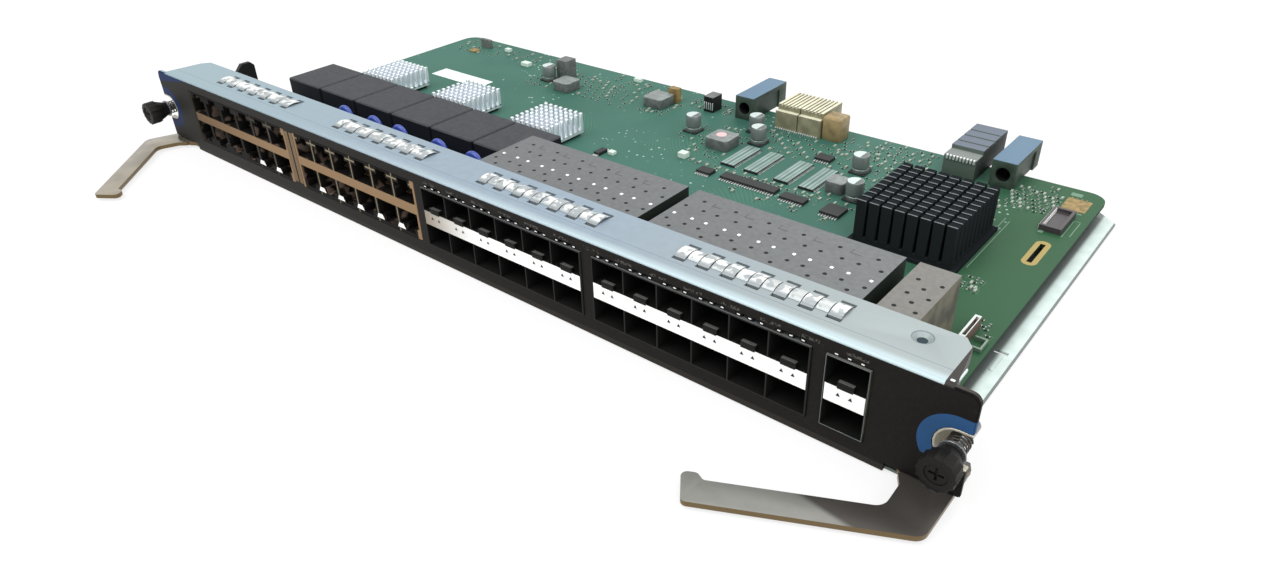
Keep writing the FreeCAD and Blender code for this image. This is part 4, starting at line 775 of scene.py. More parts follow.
def turned(name: str, centre: Triple, profile: Sequence[tuple[float, float]], axis: Axis,
           sides: int = 24) -> bpy.types.Object:
    """Round piece whose radius changes along its axis.

    Args:
        name: Object name.
        centre: Point on the axis, in card millimetres.
        profile: Radius and distance along the axis of each ring, in millimetres.
        axis: The axis.
        sides: Number of sides.

    Returns:
        The piece, closed at both ends.
    """
    clear_selection()
    (first, start), (second, end) = profile[0], profile[1]
    bpy.ops.mesh.primitive_cylinder_add(vertices=sides, radius=first * MM, depth=(end - start) * MM,
                                        location=(0, 0, (start + end) / 2 * MM))
    obj = bpy.context.active_object
    obj.name = name
    settle(obj)
    top = max(vertex.co.z for vertex in obj.data.vertices)
    select_faces(obj, lambda face: face.normal.z > 0.9 and abs(face.center.z - top) < 1e-6)
    widen(second / first)
    for (before, low), (after, high) in zip(profile[1:], profile[2:]):
        bpy.ops.mesh.extrude_region_move(TRANSFORM_OT_translate={"value": (0, 0, (high - low) * MM)})
        widen(after / before)
    leave_edit()
    turn = {Axis.X: (0.0, math.pi / 2, 0.0), Axis.Y: (-math.pi / 2, 0.0, 0.0), Axis.Z: (0.0, 0.0, 0.0)}[axis]
    obj.rotation_euler = turn
    obj.location = spot(*centre)
    return settle(obj)


def widen(ratio: float) -> None:
    """Scales the selected top face about the piece's own axis."""
    if abs(ratio - 1.0) > 1e-6:
        bpy.ops.transform.resize(value=(ratio, ratio, 1.0), center_override=(0.0, 0.0, 0.0))


def copied(obj: bpy.types.Object, shift: Triple, turn: float = 0.0, about: Triple | None = None) -> bpy.types.Object:
    """Copy of a piece with its own mesh.

    Args:
        obj: The piece.
        shift: How far it is moved, in millimetres.
        turn: Turn about the upright through `about`, in degrees.
        about: Centre of the turn, in card millimetres.

    Returns:
        The copy.
    """
    twin = bpy.data.objects.new(obj.name, obj.data.copy())
    bpy.context.scene.collection.objects.link(twin)
    matrix = Matrix.Translation(Vector(shift) * MM)
    if turn and about is not None:
        centre = Matrix.Translation(spot(*about))
        matrix = matrix @ centre @ Matrix.Rotation(math.radians(turn), 4, "Z") @ centre.inverted()
    twin.data.transform(matrix)
    return twin


def merged(name: str, pieces: Iterable[bpy.types.Object]) -> bpy.types.Object:
    """Joins pieces into one object."""
    parts = list(pieces)
    clear_selection()
    for part in parts:
        part.select_set(True)
    bpy.context.view_layer.objects.active = parts[0]
    if len(parts) > 1:
        bpy.ops.object.join()
    parts[0].name = name
    return parts[0]


def refined(node: str, edge: float, segments: int = 2) -> bpy.types.Object:
    """Copy of a CAD node with its flat faces merged and its edges rounded."""
    obj = bpy.data.objects.new(node + "_fine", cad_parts[node].data.copy())
    bpy.context.scene.collection.objects.link(obj)
    pick(obj)
    if obj.data.has_custom_normals:
        bpy.ops.mesh.customdata_custom_splitnormals_clear()
    select_all_faces(obj)
    bpy.ops.mesh.remove_doubles(threshold=1e-6)
    bpy.ops.mesh.dissolve_limited(angle_limit=math.radians(0.4))
    leave_edit()
    return bevelled(obj, edge, segments)


def dressed(obj: bpy.types.Object, finish: Finish) -> bpy.types.Object:
    """Gives a piece one finish all over."""
    obj.data.materials.clear()
    obj.data.materials.append(finish.material())
    return obj


def second_finish(obj: bpy.types.Object, finish: Finish, wanted: FaceTest) -> None:
    """Gives the faces that pass a test another finish."""
    obj.data.materials.append(finish.material())
    index = len(obj.data.materials) - 1
    for face in obj.data.polygons:
        if wanted(face):
            face.material_index = index


def fixed(obj: bpy.types.Object, body: str = "card", nodes: Sequence[str] = ()) -> bpy.types.Object:
    """Ties a finished piece to a CAD body, in place of the nodes that it stands for."""
    if nodes:
        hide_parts(*nodes)
    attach(obj, body)
    LOG.info("piece %s on %s", obj.name, body)
    return obj


def paint_node(node: str, finish: Finish) -> None:
    """Gives a CAD node its finish and leaves its mesh alone."""
    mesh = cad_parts[node].data
    mesh.materials.clear()
    mesh.materials.append(finish.material())
    LOG.info("node %s in %s", node, finish.name)


# ---------------------------------------------------------------- sub-assemblies
def recast(node: str, edge: float, finish: Finish, segments: int = 1, body: str = "card",
           others: Sequence[tuple[Finish, FaceTest]] = ()) -> None:
    """Puts a bevelled copy in a CAD node's place, with other finishes on the faces that pass their tests."""
    obj = dressed(refined(node, edge, segments), finish)
    for other, wanted in others:
        second_finish(obj, other, wanted)
    fixed(obj, body, (node,))


@dataclass
class FrontPanel:
    """Folded panel with its printed face and four spring gasket strips."""

    strip_centres: tuple[float, ...] = (75.5, 173.0, 266.5, 361.2)
    slots: int = 7
    slot_pitch: float = 9.4
    finger: float = 4.25
    front: float = 9.5
    rear: float = 17.3
    inset: float = 0.75
    top: float = 39.1
    rise: float = 1.16
    sheet: float = 0.25

    def build(self) -> None:
        """Makes and places every piece of the panel."""
        recast("front_panel", 0.2, FLANGE, others=(
            (FACE, lambda face: face.center.z < 37.4 * MM and face.center.y < spot(0, 2.0, 0).y),))
        paint_node("panel_overlay", FACE)
        masters = (self.bow("long_finger", 0.0), self.bow("short_finger", self.inset))
        count = 2 * self.slots - 1
        for number, centre in enumerate(self.strip_centres, 1):
            first = centre - (count - 1) / 4 * self.slot_pitch
            row = [copied(masters[index % 2], (first + index * self.slot_pitch / 2, 0, 0)) for index in range(count)]
            strip = dressed(merged(f"gasket_fingers_{number}", row), STRIP)
            fixed(strip, nodes=(f"gasket_strip_{number}",))
        for master in masters:
            bpy.data.objects.remove(master)
        contact = [slab("contact", (428.9, 3.6, 37.9), (429.35, 9.4, 38.9), 0.1),
                   slab("contact", (427.4, 1.6, 38.7), (428.8, 2.6, 39.2), 0.15)]
        fixed(dressed(merged("end_contact", contact), CAN_TOP))
        plug = turned("flange_hole_shadow", (*FLANGE_HOLE, 37.6), [(2.0, 0.0), (2.0, 0.15), (1.8, 0.25)], Axis.Z)
        fixed(dressed(plug, HOLE))

    def bow(self, name: str, inset: float) -> bpy.types.Object:
        """One bowed finger about x = 0, drawn out edge by edge and given its thickness."""
        front, rear = self.front + inset, self.rear - inset
        foot = self.top - 1.6 if not inset else self.top
        span = rear - front
        path = [(front, foot), (front, self.top + 0.1), (front + 0.14 * span, self.top + 0.68),
                (front + 0.3 * span, self.top + 1.0), (front + 0.5 * span, self.top + self.rise),
                (front + 0.7 * span, self.top + 1.0), (front + 0.86 * span, self.top + 0.68),
                (rear, self.top + 0.1), (rear, foot)]
        return bent_sheet(name, (-self.finger / 2, self.finger / 2), path, self.sheet)


def bent_sheet(name: str, across: tuple[float, float], path: Sequence[tuple[float, float]],
               sheet: float) -> bpy.types.Object:
    """Strip of sheet metal drawn out along a path in the Y and Z plane.

    Args:
        name: Object name.
        across: Its left and right edges, in card millimetres.
        path: Y and Z of each bend.
        sheet: Thickness, laid evenly about the path.

    Returns:
        The strip, with thickness and slightly rounded edges.
    """
    start = path[0]
    clear_selection()
    middle = spot((across[0] + across[1]) / 2, start[0], start[1])
    bpy.ops.mesh.primitive_plane_add(size=1.0, location=middle, scale=(1, 1, 1))
    obj = bpy.context.active_object
    obj.name = name
    obj.scale = ((across[1] - across[0]) * MM, 1e-4 * MM, 1.0)
    settle(obj)
    mesh = obj.data
    back = max(vertex.co.y for vertex in mesh.vertices)
    for face in mesh.polygons:
        face.select = False
    for vertex in mesh.vertices:
        vertex.select = vertex.co.y > back - 1e-9
    for edge in mesh.edges:
        edge.select = all(mesh.vertices[index].select for index in edge.vertices)
    bpy.ops.object.mode_set(mode="EDIT")
    bpy.ops.mesh.select_mode(type="EDGE")
    for (y0, z0), (y1, z1) in zip(path, path[1:]):
        bpy.ops.mesh.extrude_region_move(TRANSFORM_OT_translate={"value": (0, (y1 - y0) * MM, (z1 - z0) * MM)})
    bpy.ops.mesh.select_all(action="SELECT")
    bpy.ops.mesh.remove_doubles(threshold=2e-7)
    bpy.ops.mesh.normals_make_consistent(inside=False)
    leave_edit()
    with_modifier(obj, "SOLIDIFY", {"thickness": sheet * MM, "offset": 0.0})
    return smoothed(obj, 50.0)


@dataclass
class CopperPorts:
    """Two shielded blocks of twelve jacks, with their contact wires and white lower plates that are painted
    reflections.
    """

    lefts: tuple[float, float] = (30.3, 122.5)
    pitch: float = PORT_PITCH
    columns: int = PORT_COLUMNS
    middle: float = 21.15
    band: float = 4.4
    height: float = 7.4
    keyway_height: float = 2.6
    bright: tuple[tuple[int, ...], ...] = ((4, 5), (1, 2, 3, 4, 5))

    def build(self) -> None:
        """Makes and places every piece of both blocks."""
        for number, left in enumerate(self.lefts, 1):
            shield = ShieldSteel(f"jack_shield_steel_{number}", (0.05, 0.042, 0.032), gloss=0.1, rough=0.6, left=left)
            paint_node(f"jack_shield_{number}", shield)
            paint_node(f"jack_housing_{number}", JACK)
            centres = [left + (index + 0.5) * self.pitch for index in range(self.columns)]
            wires = [self.wires(centre, up) for centre in centres for up in (False, True)]
            fixed(dressed(merged(f"contact_wires_{number}", wires), WIRE))
            front = min(vertex.co.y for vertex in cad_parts[f"jack_shield_{number}"].data.vertices)
            # Painted reflection: white plates at the foot of the listed dividers.
            tabs = [self.glint_tab(left + index * self.pitch, front / MM + DEPTH_MIDDLE) for index in self.bright[number - 1]]
            fixed(dressed(merged(f"shield_glint_tabs_{number}", tabs), GLINT))

    def wires(self, centre: float, upper: bool) -> bpy.types.Object:
        """Eight sprung wires in one jack, on the side away from its latch."""
        sign = 1 if upper else -1
        base = self.middle + sign * (self.band / 2 + 0.7)
        first = centre - 3.5 * 1.02
        path = [(13.6, base), (4.6, base + sign * 0.35), (3.4, base + sign * 1.1), (6.8, base + sign * 2.7)]
        wire = bent_sheet("wire", (first - 0.17, first + 0.17), path, 0.3)
        row = [wire] + [copied(wire, (index * 1.02, 0, 0)) for index in range(1, 8)]
        return merged("wires", row)

    def glint_tab(self, divider: float, front: float) -> bpy.types.Object:
        """White plate at the foot of one divider, wider at its base: a painted reflection of the shield's lower
        shoulder.
        """
        low = self.middle - self.band / 2 - self.height - self.keyway_height
        glint_tab = slab("glint_tab", (divider - 1.3, front - 0.12, low + 0.3), (divider + 3.9, front + 0.02, low + 2.5), 0.0)
        select_faces(glint_tab, lambda face: face.normal.z > 0.9)
        bpy.ops.transform.resize(value=(0.55, 1.0, 1.0))
        leave_edit()
        return bevelled(glint_tab, 0.05)


@dataclass
class ModuleCages:
    """Three sheet cages with vented roofs, spacer bands, latch nubs and lamp lenses."""

    lefts: tuple[float, float] = (212.5, 302.8)
    uplink_left: float = 392.8
    pitch: float = PORT_PITCH
    columns: int = PORT_COLUMNS
    roof: float = 33.6
    face: float = -0.3
    lamp: float = 34.45
    lamp_step: float = 4.1
    roof_level: float = 33.1
    band_top: float = 23.75
    nub_level: float = 24.0
    nub_shift: Triple = (0.3, 1.25, 1.1)

    def build(self) -> None:
        """Makes and places every piece of the cages."""
        # Painted reflection on the first spacer band: brownish grey at its left end, white further right.
        painted_light_fade = ReflectionFadeSteel("spacer_reflection_fade", (0.97, 0.97, 0.96), metal=0.05, rough=0.45, unreflected_colour=(0.50, 0.44, 0.36),
                           start=206.0, end=250.0)
        for number, left in enumerate(self.lefts, 1):
            steel = VentedSteel(f"cage_steel_{number}", (0.41, 0.42, 0.425), metal=0.2, rough=0.55, mottle=0.35,
                                grain=500.0, left=left, holes=CAGE_HOLES)
            self.cage(f"module_cage_{number}", f"cage_spacer_{number}", steel, SPACER_REFLECTION if number > 1 else painted_light_fade,
                      SHADED_STEEL)
            self.trim(f"cage_trim_{number}", left, self.columns, ((3.6, 41.7), (11.7, 41.7)))
        steel = VentedSteel("cage_steel_uplink", (0.445, 0.44, 0.42), metal=0.2, rough=0.55, mottle=0.3, grain=500.0,
                            left=self.uplink_left, holes=UPLINK_HOLES)
        self.cage("module_cage_uplink", "cage_spacer_uplink", steel, SPACER_REFLECTION, UPLINK_SIDE)
        self.trim("cage_trim_uplink", self.uplink_left, 1, ())
        self.uplink_frame()
        paint_node("host_connectors", BLACK)
        # Painted shade: the light pipes are near-black.
        paint_node("light_pipes", CAVITY_SHADE)

    def cage(self, cage: str, spacer: str, steel: Finish, band: Finish, side: Finish) -> None:
        """Dresses one cage, dark inside with painted shade, and the spacer band with its raised latch nubs; the band's
        front takes a painted reflection and the nubs' tops a painted highlight.
        """
        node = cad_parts[cage]
        # Painted shade: the whole cage is near-black before its roof, rear, sides and front edges get their own
        # finishes.
        paint_node(cage, CAVITY_SHADE)
        places = [vertex.co for vertex in node.data.vertices]
        low, high = min(place.x for place in places), max(place.x for place in places)
        front, rear = min(place.y for place in places), max(place.y for place in places)
        near = 1e-5
        second_finish(node, steel, lambda face: face.center.z > self.roof_level * MM and face.normal.z > 0.5
                      or face.center.y > rear - near)
        second_finish(node, side, lambda face: min(face.center.x - low, high - face.center.x) < near)
        second_finish(node, CAGE_EDGE, lambda face: face.center.y < front + near)
        # The spacer is near-black painted shade except the faces given other finishes below.
        fine = dressed(refined(spacer, 0.08, 1), CAVITY_SHADE)
        select_faces(fine, lambda face: False)
        bpy.ops.mesh.select_mode(type="VERT")
        leave_edit()
        for vertex in fine.data.vertices:
            vertex.select = vertex.co.y < front - 0.5 * MM
        bpy.ops.object.mode_set(mode="EDIT")
        bpy.ops.transform.translate(value=tuple(step * MM for step in self.nub_shift))
        leave_edit()
        second_finish(fine, band, lambda face: face.normal.y < -0.9 and abs(face.center.y - front) < 0.1 * MM
                      and face.center.z < self.band_top * MM)
        # Painted highlight: the latch nubs' tops are light grey, their other faces dark.
        second_finish(fine, NUB_TOP_HIGHLIGHT, lambda face: face.normal.z > 0.5 and face.center.z > self.nub_level * MM)
        fixed(fine, nodes=(spacer,))

    def trim(self, name: str, left: float, columns: int, bumps: Sequence[tuple[float, float]]) -> None:
        """Stamped bumps on the roof in a white painted glint, dark marks on the spacer, lamp dots and small tabs over
        the dividers.
        """
        bright, dark, lines, dots = [], [], [], []
        bump = slab("bump", (-0.6, -0.6, 0), (0.6, 0.6, 0.4), 0.2, 2)
        dot = slab("dot", (-0.5, self.face - 0.05, self.lamp - 0.2), (0.5, self.face, self.lamp + 0.2), 0.02)
        mark = self.mark()
        for index in range(columns):
            column = left + index * self.pitch
            bright += [copied(bump, (column + across, back, self.roof - 0.05)) for across, back in bumps]
            middle = column + self.pitch / 2
            dark += [copied(mark, (middle + aside, 0, 0)) for aside in (-2.0, 2.0)]
            dots += [copied(dot, (middle + step * self.lamp_step, 0, 0)) for step in (-1, 0, 1)]
            if index:
                high = self.roof + 0.1
                lines += [slab("tab_line", (column - 2.4, 54.2, self.roof), (column + 1.6, 54.45, high), 0.02),
                          slab("tab_line", (column - 2.4, 54.4, self.roof), (column - 2.15, 57.2, high), 0.02)]
        for master in (bump, mark, dot):
            bpy.data.objects.remove(master)
        if bright:
            # Painted highlight: the roof bumps are white glints.
            fixed(dressed(merged(name + "_bumps", bright), GLINT))
            fixed(dressed(merged(name + "_tabs", lines), ROOF_LINE))
        fixed(dressed(merged(name + "_marks", dark), BLACK))
        fixed(dressed(merged(name + "_lamps", dots), LENS))

    def uplink_frame(self) -> None:
        """Bright hairline round the uplink cage's mouth."""
        left, right = self.uplink_left + 0.1, self.uplink_left + self.pitch - 0.1
        low, high = 7.7, self.roof - 0.1
        y0, y1, wide = -0.9, -0.78, 0.16
        bars = [slab("bar", (left, y0, low), (left + wide, y1, high), 0.03),
                slab("bar", (right - wide, y0, low), (right, y1, high), 0.03),
                slab("bar", (left, y0, high - wide), (right, y1, high), 0.03),
                slab("bar", (left, y0, low), (right, y1, low + wide), 0.03)]
        fixed(dressed(merged("uplink_frame", bars), CAN))

    def mark(self) -> bpy.types.Object:
        """Small dark triangle on the spacer's front."""
        clear_selection()
        bpy.ops.mesh.primitive_cylinder_add(vertices=3, radius=0.8 * MM, depth=0.1 * MM,
                                            location=spot(0, -0.86, 20.9), rotation=(math.pi / 2, 0, 0))
        obj = bpy.context.active_object
        settle(obj)
        return bevelled(obj, 0.02)


@dataclass
class TrayAndBoard:
    """Zinc tray, circuit board, standoffs, label and the small parts soldered over the board."""

    top: float = BOARD_TOP
    scatter: tuple[float, float] = (0.7548777, 0.5698403)

    def build(self) -> None:
        """Makes and places every piece."""
        recast("base_tray", 0.2, ZINC)
        paint_node("main_board", BOARD)
        second_finish(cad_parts["main_board"], BOARD_EDGE, lambda face: abs(face.normal.z) < 0.5)
        paint_node("board_standoffs", TIN)
        paint_node("board_label", PAPER)
        self.small_parts()
        self.pads()

    def pads(self) -> None:
        """Gilt and pale pads and printed lines near the board's right edge."""
        top = self.top
        gilt = [slab("pad", (405.6, 183.0, top), (415.6, 195.0, top + 0.08), 0.03)]
        gilt += [slab("line", (405.6 + step, 182.0, top + 0.05), (406.0 + step, 196.2, top + 0.14), 0.03)
                 for step in (1.2, 3.2, 5.2, 7.2)]
        fixed(dressed(merged("gilt_pad", gilt), GOLD))
        spans = (((405.5, 197.4), (410.2, 200.6)), ((414.0, 157.0), (414.4, 174.0)), ((416.6, 159.0), (417.0, 173.0)),
                 ((414.0, 173.6), (417.0, 174.0)), ((406.0, 180.6), (415.0, 181.4)), ((391.6, 107.0), (392.0, 150.0)),
                 ((393.0, 112.0), (393.4, 158.0)), ((390.6, 150.0), (391.0, 160.0)), ((405.0, 156.0), (407.0, 172.0)))
        pale = [slab("pad", (*low, top), (*high, top + 0.06), 0.02) for low, high in spans]
        fixed(dressed(merged("pale_pads", pale), FAINT))

    def small_parts(self) -> None:
        """Scatters resistors, capacitors and printed outlines where the board is clear."""
        resistor = self.two_ended("resistor", (0.5, 0.4, 0.45), 0.9, CHIP)
        capacitor = self.two_ended("capacitor", (0.6, 0.5, 0.9), 1.0, TAN)
        frame_mark = merged("outline", [dressed(slab("line", (-1.8, -1.0, 0), (1.8, -0.86, 0.03)), FAINT),
                                        dressed(slab("line", (-1.8, 0.86, 0), (1.8, 1.0, 0.03)), FAINT)])
        fields = (
            ((246, 128), (322, 131), 50), ((240, 136), (262, 176), 46), ((262, 160), (330, 184), 90),
            ((316, 128), (346, 172), 60), ((346, 98), (350, 148), 20), ((316, 160), (345, 204), 130),
            ((186, 165), (206, 186), 30), ((206, 186), (236, 198), 22), ((104, 160), (126, 190), 30),
            ((126, 162), (162, 190), 70), ((156, 160), (182, 197), 20), ((394, 97), (404, 107), 26),
            ((20, 180), (60, 200), 26), ((60, 186), (104, 200), 16), ((146, 192), (190, 202), 18),
            ((225, 148), (245, 170), 16), ((300, 176), (330, 198), 30), ((348, 152), (385, 180), 60),
            ((384, 172), (405, 193), 120), ((282, 112), (345, 116), 14), ((397, 195), (403, 202), 8),
            ((411, 70), (418, 82), 12), ((352, 62), (400, 80), 8),
        )
        masters = (resistor, resistor, capacitor)
        stamped: list[bpy.types.Object] = []
        bpy.context.view_layer.update()
        for number, (low, high, count) in enumerate(fields):
            for index in range(count):
                across = (0.5 + index * self.scatter[0]) % 1.0
                along = (0.5 + index * self.scatter[1]) % 1.0
                x = round(low[0] + (high[0] - low[0]) * across, 1)
                y = round(low[1] + (high[1] - low[1]) * along, 1)
                if not self.clear(x, y):
                    continue
                turn = 90.0 if (index + number) % 3 else 0.0
                master = masters[(index * 7 + number) % 3]
                stamped.append(self.stamp(master, x, y, turn))
                if index % 2:
                    stamped.append(self.stamp(frame_mark, x, y, turn))
        for master in (resistor, capacitor, frame_mark):
            bpy.data.objects.remove(master)
        fixed(merged("small_parts", stamped))

    def two_ended(self, name: str, size: Triple, reach: float, finish: Finish) -> bpy.types.Object:
        """Small part with a soldered end on each side.

        Args:
            name: Object name.
            size: Half length, half width and height of its body, in millimetres.
            reach: Distance from its middle to the tip of an end.
            finish: The body's finish.

        Returns:
            The part, about the origin.
        """
        half, wide, high = size
        lap = 0.02
        pieces = [dressed(slab("body", (-half, -wide, 0), (half, wide, high), 0.05), finish)]
        pieces += [dressed(slab("end", (low, -wide - lap, 0), (far, wide + lap, high + lap), 0.05), SOLDER)
                   for low, far in ((-reach, -half), (half, reach))]
        return merged(name, pieces)

    def stamp(self, master: bpy.types.Object, x: float, y: float, turn: float) -> bpy.types.Object:
        """Copy of a small part on the board."""
        return copied(master, (x, y, self.top), turn, (0, 0, 0))

    def clear(self, x: float, y: float) -> bool:
        """Whether nothing stands over the board at this place or close to it."""
        graph = bpy.context.evaluated_depsgraph_get()
        for aside, behind in ((0, 0), (2.0, 0), (-2.0, 0), (0, 2.0), (0, -2.0)):
            origin = spot(x + aside, y + behind, 60.0)
            hit, place, *_ = bpy.context.scene.ray_cast(graph, origin, Vector((0, 0, -1)))
            if not hit or abs(place.z - self.top * MM) > 1e-5:
                return False
        return True


@dataclass
class Magnetics:
    """Line transformers and the blue discs in front of them."""

    centres: tuple[float, ...] = (90.0, 114.0, 134.0, 163.0, 187.0)
    y: float = 48.5
    z: float = 18.5
    radius: float = 6.0
    thickness: float = 3.2

    def build(self) -> None:
        """Makes and places every piece."""
        paint_node("line_transformers", MOULDED)
        # Lit tops in the resin finish, the other faces in a darker painted-shade copy.
        second_finish(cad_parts["line_transformers"], SHADE, lambda face: face.normal.z < 0.6)
        half = self.thickness / 2
        profile = [(self.radius * 0.55, -half), (self.radius * 0.82, -half * 0.85), (self.radius * 0.96, -half * 0.5),
                   (self.radius, 0), (self.radius * 0.96, half * 0.5), (self.radius * 0.82, half * 0.85),
                   (self.radius * 0.55, half)]
        disc = turned("disc", (0, self.y, self.z), profile, Axis.Y, 32)
        smoothed(dressed(disc, CERAMIC), 60.0)
        legs = [slab("leg", (aside - 0.3, self.y - 0.3, BOARD_TOP), (aside + 0.3, self.y + 0.3, self.z - 3), 0.1)
                for aside in (-2.5, 2.5)]
        for leg in legs:
            dressed(leg, TIN)
        whole = merged("disc", [disc] + legs)
        discs = [copied(whole, (x, 0, 0)) for x in self.centres]
        bpy.data.objects.remove(whole)
        fixed(merged("disc_row", discs), nodes=("disc_capacitors",))


@dataclass
class PinSink:
    """Heat sink: a base plate with rows of separate pins.

    Attributes:
        name: Name of the piece.
        node: CAD node that it stands for.
        low: Lower left front corner.
        high: Upper right rear corner.
        columns: Pins across.
        rows: Pins along.
        pin: Width and depth of a pin.
    """

    name: str
    node: str
    low: Triple
    high: Triple
    columns: int
    rows: int
    pin: tuple[float, float]
    body: Finish
    tip: Finish
    base: float = 2.0
    edge: float = 0.12

    def build(self) -> None:
        """Makes, dresses and places the sink."""
        (x0, y0, z0), (x1, y1, z1) = self.low, self.high
        plate = dressed(slab("plate", self.low, (x1, y1, z0 + self.base), 0.2), self.body)
        wide, deep = self.pin
        pin = slab("pin", (x0, y0, z0 + self.base * 0.5), (x0 + wide, y0 + deep, z1), self.edge)
        dressed(pin, self.body)
        # The tip finish goes on the pins' front top bevels; on the black sink it is a painted edge highlight.
        second_finish(pin, self.tip, lambda face: 0.3 < face.normal.z < 0.95 and face.normal.y < -0.3)
        step_x = (x1 - x0 - wide) / (self.columns - 1)
        step_y = (y1 - y0 - deep) / (self.rows - 1)
        pins = [copied(pin, (column * step_x, row * step_y, 0)) for column in range(self.columns)
                for row in range(self.rows)]
        bpy.data.objects.remove(pin)
        fixed(merged(self.name, [plate] + pins), nodes=(self.node,))


@dataclass
class HeatSinks:
    """Three bright sinks over the port chips and the black one over the switching chip."""

    small_centres: tuple[float, ...] = (53.0, 113.8, 174.6)
    small_y: float = 108.5
    small: float = 26.0

    def build(self) -> None:
        """Makes and places every sink."""
        half = self.small / 2
        for number, x in enumerate(self.small_centres, 1):
            low = (x - half, self.small_y - half, 9.0)
            high = (x + half, self.small_y + half, 19.5)
            PinSink(f"bright_sink_{number}", f"heat_sink_{number}", low, high, 8, 8, (1.6, 1.6), SILVER, SILVER).build()
        PinSink("black_sink", "heat_sink_large", (349.0, 103.75, 9.0), (390.0, 146.25, 27.0), 8, 10, (4.2, 3.3),
                ANODISED, SINK_EDGE_HIGHLIGHT, edge=0.24).build()
        paint_node("sunk_chips", ANODISED)


@dataclass
class Backplane:
    """Guide blocks, receptacles, power tap and signal header along the rear edge."""

    def build(self) -> None:
        """Makes and places every piece."""
        for side in ("left", "right"):
            block = dressed(refined(f"guide_block_{side}", 0.3, 2), GUIDE_DARK)
            crest = max(vertex.co.z for vertex in block.data.vertices)
            second_finish(block, GUIDE, lambda face: face.normal.z > 0.6 and face.center.z > crest - 1.5 * MM)
            # Painted shade inside the guide bore.
            second_finish(block, CAVITY_SHADE, self.in_bore(block))
            fixed(block, nodes=(f"guide_block_{side}",))
            recast(f"backplane_receptacle_{side}", 0.2, IVORY, 2, others=(
                (IVORY_SHADE, lambda face: face.normal.y < -0.5 or abs(face.normal.x) > 0.6),))
        recast("power_tap", 0.2, AMBER, others=((AMBER_SHADE, lambda face: abs(face.normal.z) < 0.5),))
        recast("signal_header", 0.3, HEADER, 2, others=(
            (HEADER_DARK, lambda face: abs(face.normal.x) > 0.6),
            (HEADER_FRONT, lambda face: face.normal.y < -0.5),
            (HEADER_REAR, lambda face: face.normal.z > 0.6 and face.center.z > 18.6 * MM)))
        pins = [slab("pin", (353.2 + index * 1.55, 183.2, 16.2), (354.1 + index * 1.55, 184.6, 18.2), 0.1)
                for index in range(9)]
        fixed(dressed(merged("header_pins", pins), TIN))
        small = [slab("foot", (261.8 + index * 1.24, 185.9, 7.5), (262.4 + index * 1.24, 187.2, 8.4), 0.1)
                 for index in range(20)]
        fixed(dressed(merged("receptacle_feet", small), TIN))

    def in_bore(self, block: bpy.types.Object) -> FaceTest:
        """Test for the faces inside a block's bore: they look towards its axis."""
        places = [vertex.co for vertex in block.data.vertices]
        middle = (min(place.x for place in places) + max(place.x for place in places)) / 2
        low, high = min(place.z for place in places), max(place.z for place in places)
        centre = Vector((middle, 0.0, (low + high) / 2))

        def inside(face: bpy.types.MeshPolygon) -> bool:
            """Whether the face is near the axis and faces it."""
            out = Vector((face.center.x, 0.0, face.center.z)) - centre
            return out.length < 4.5 * MM and abs(face.normal.y) < 0.3

        return inside


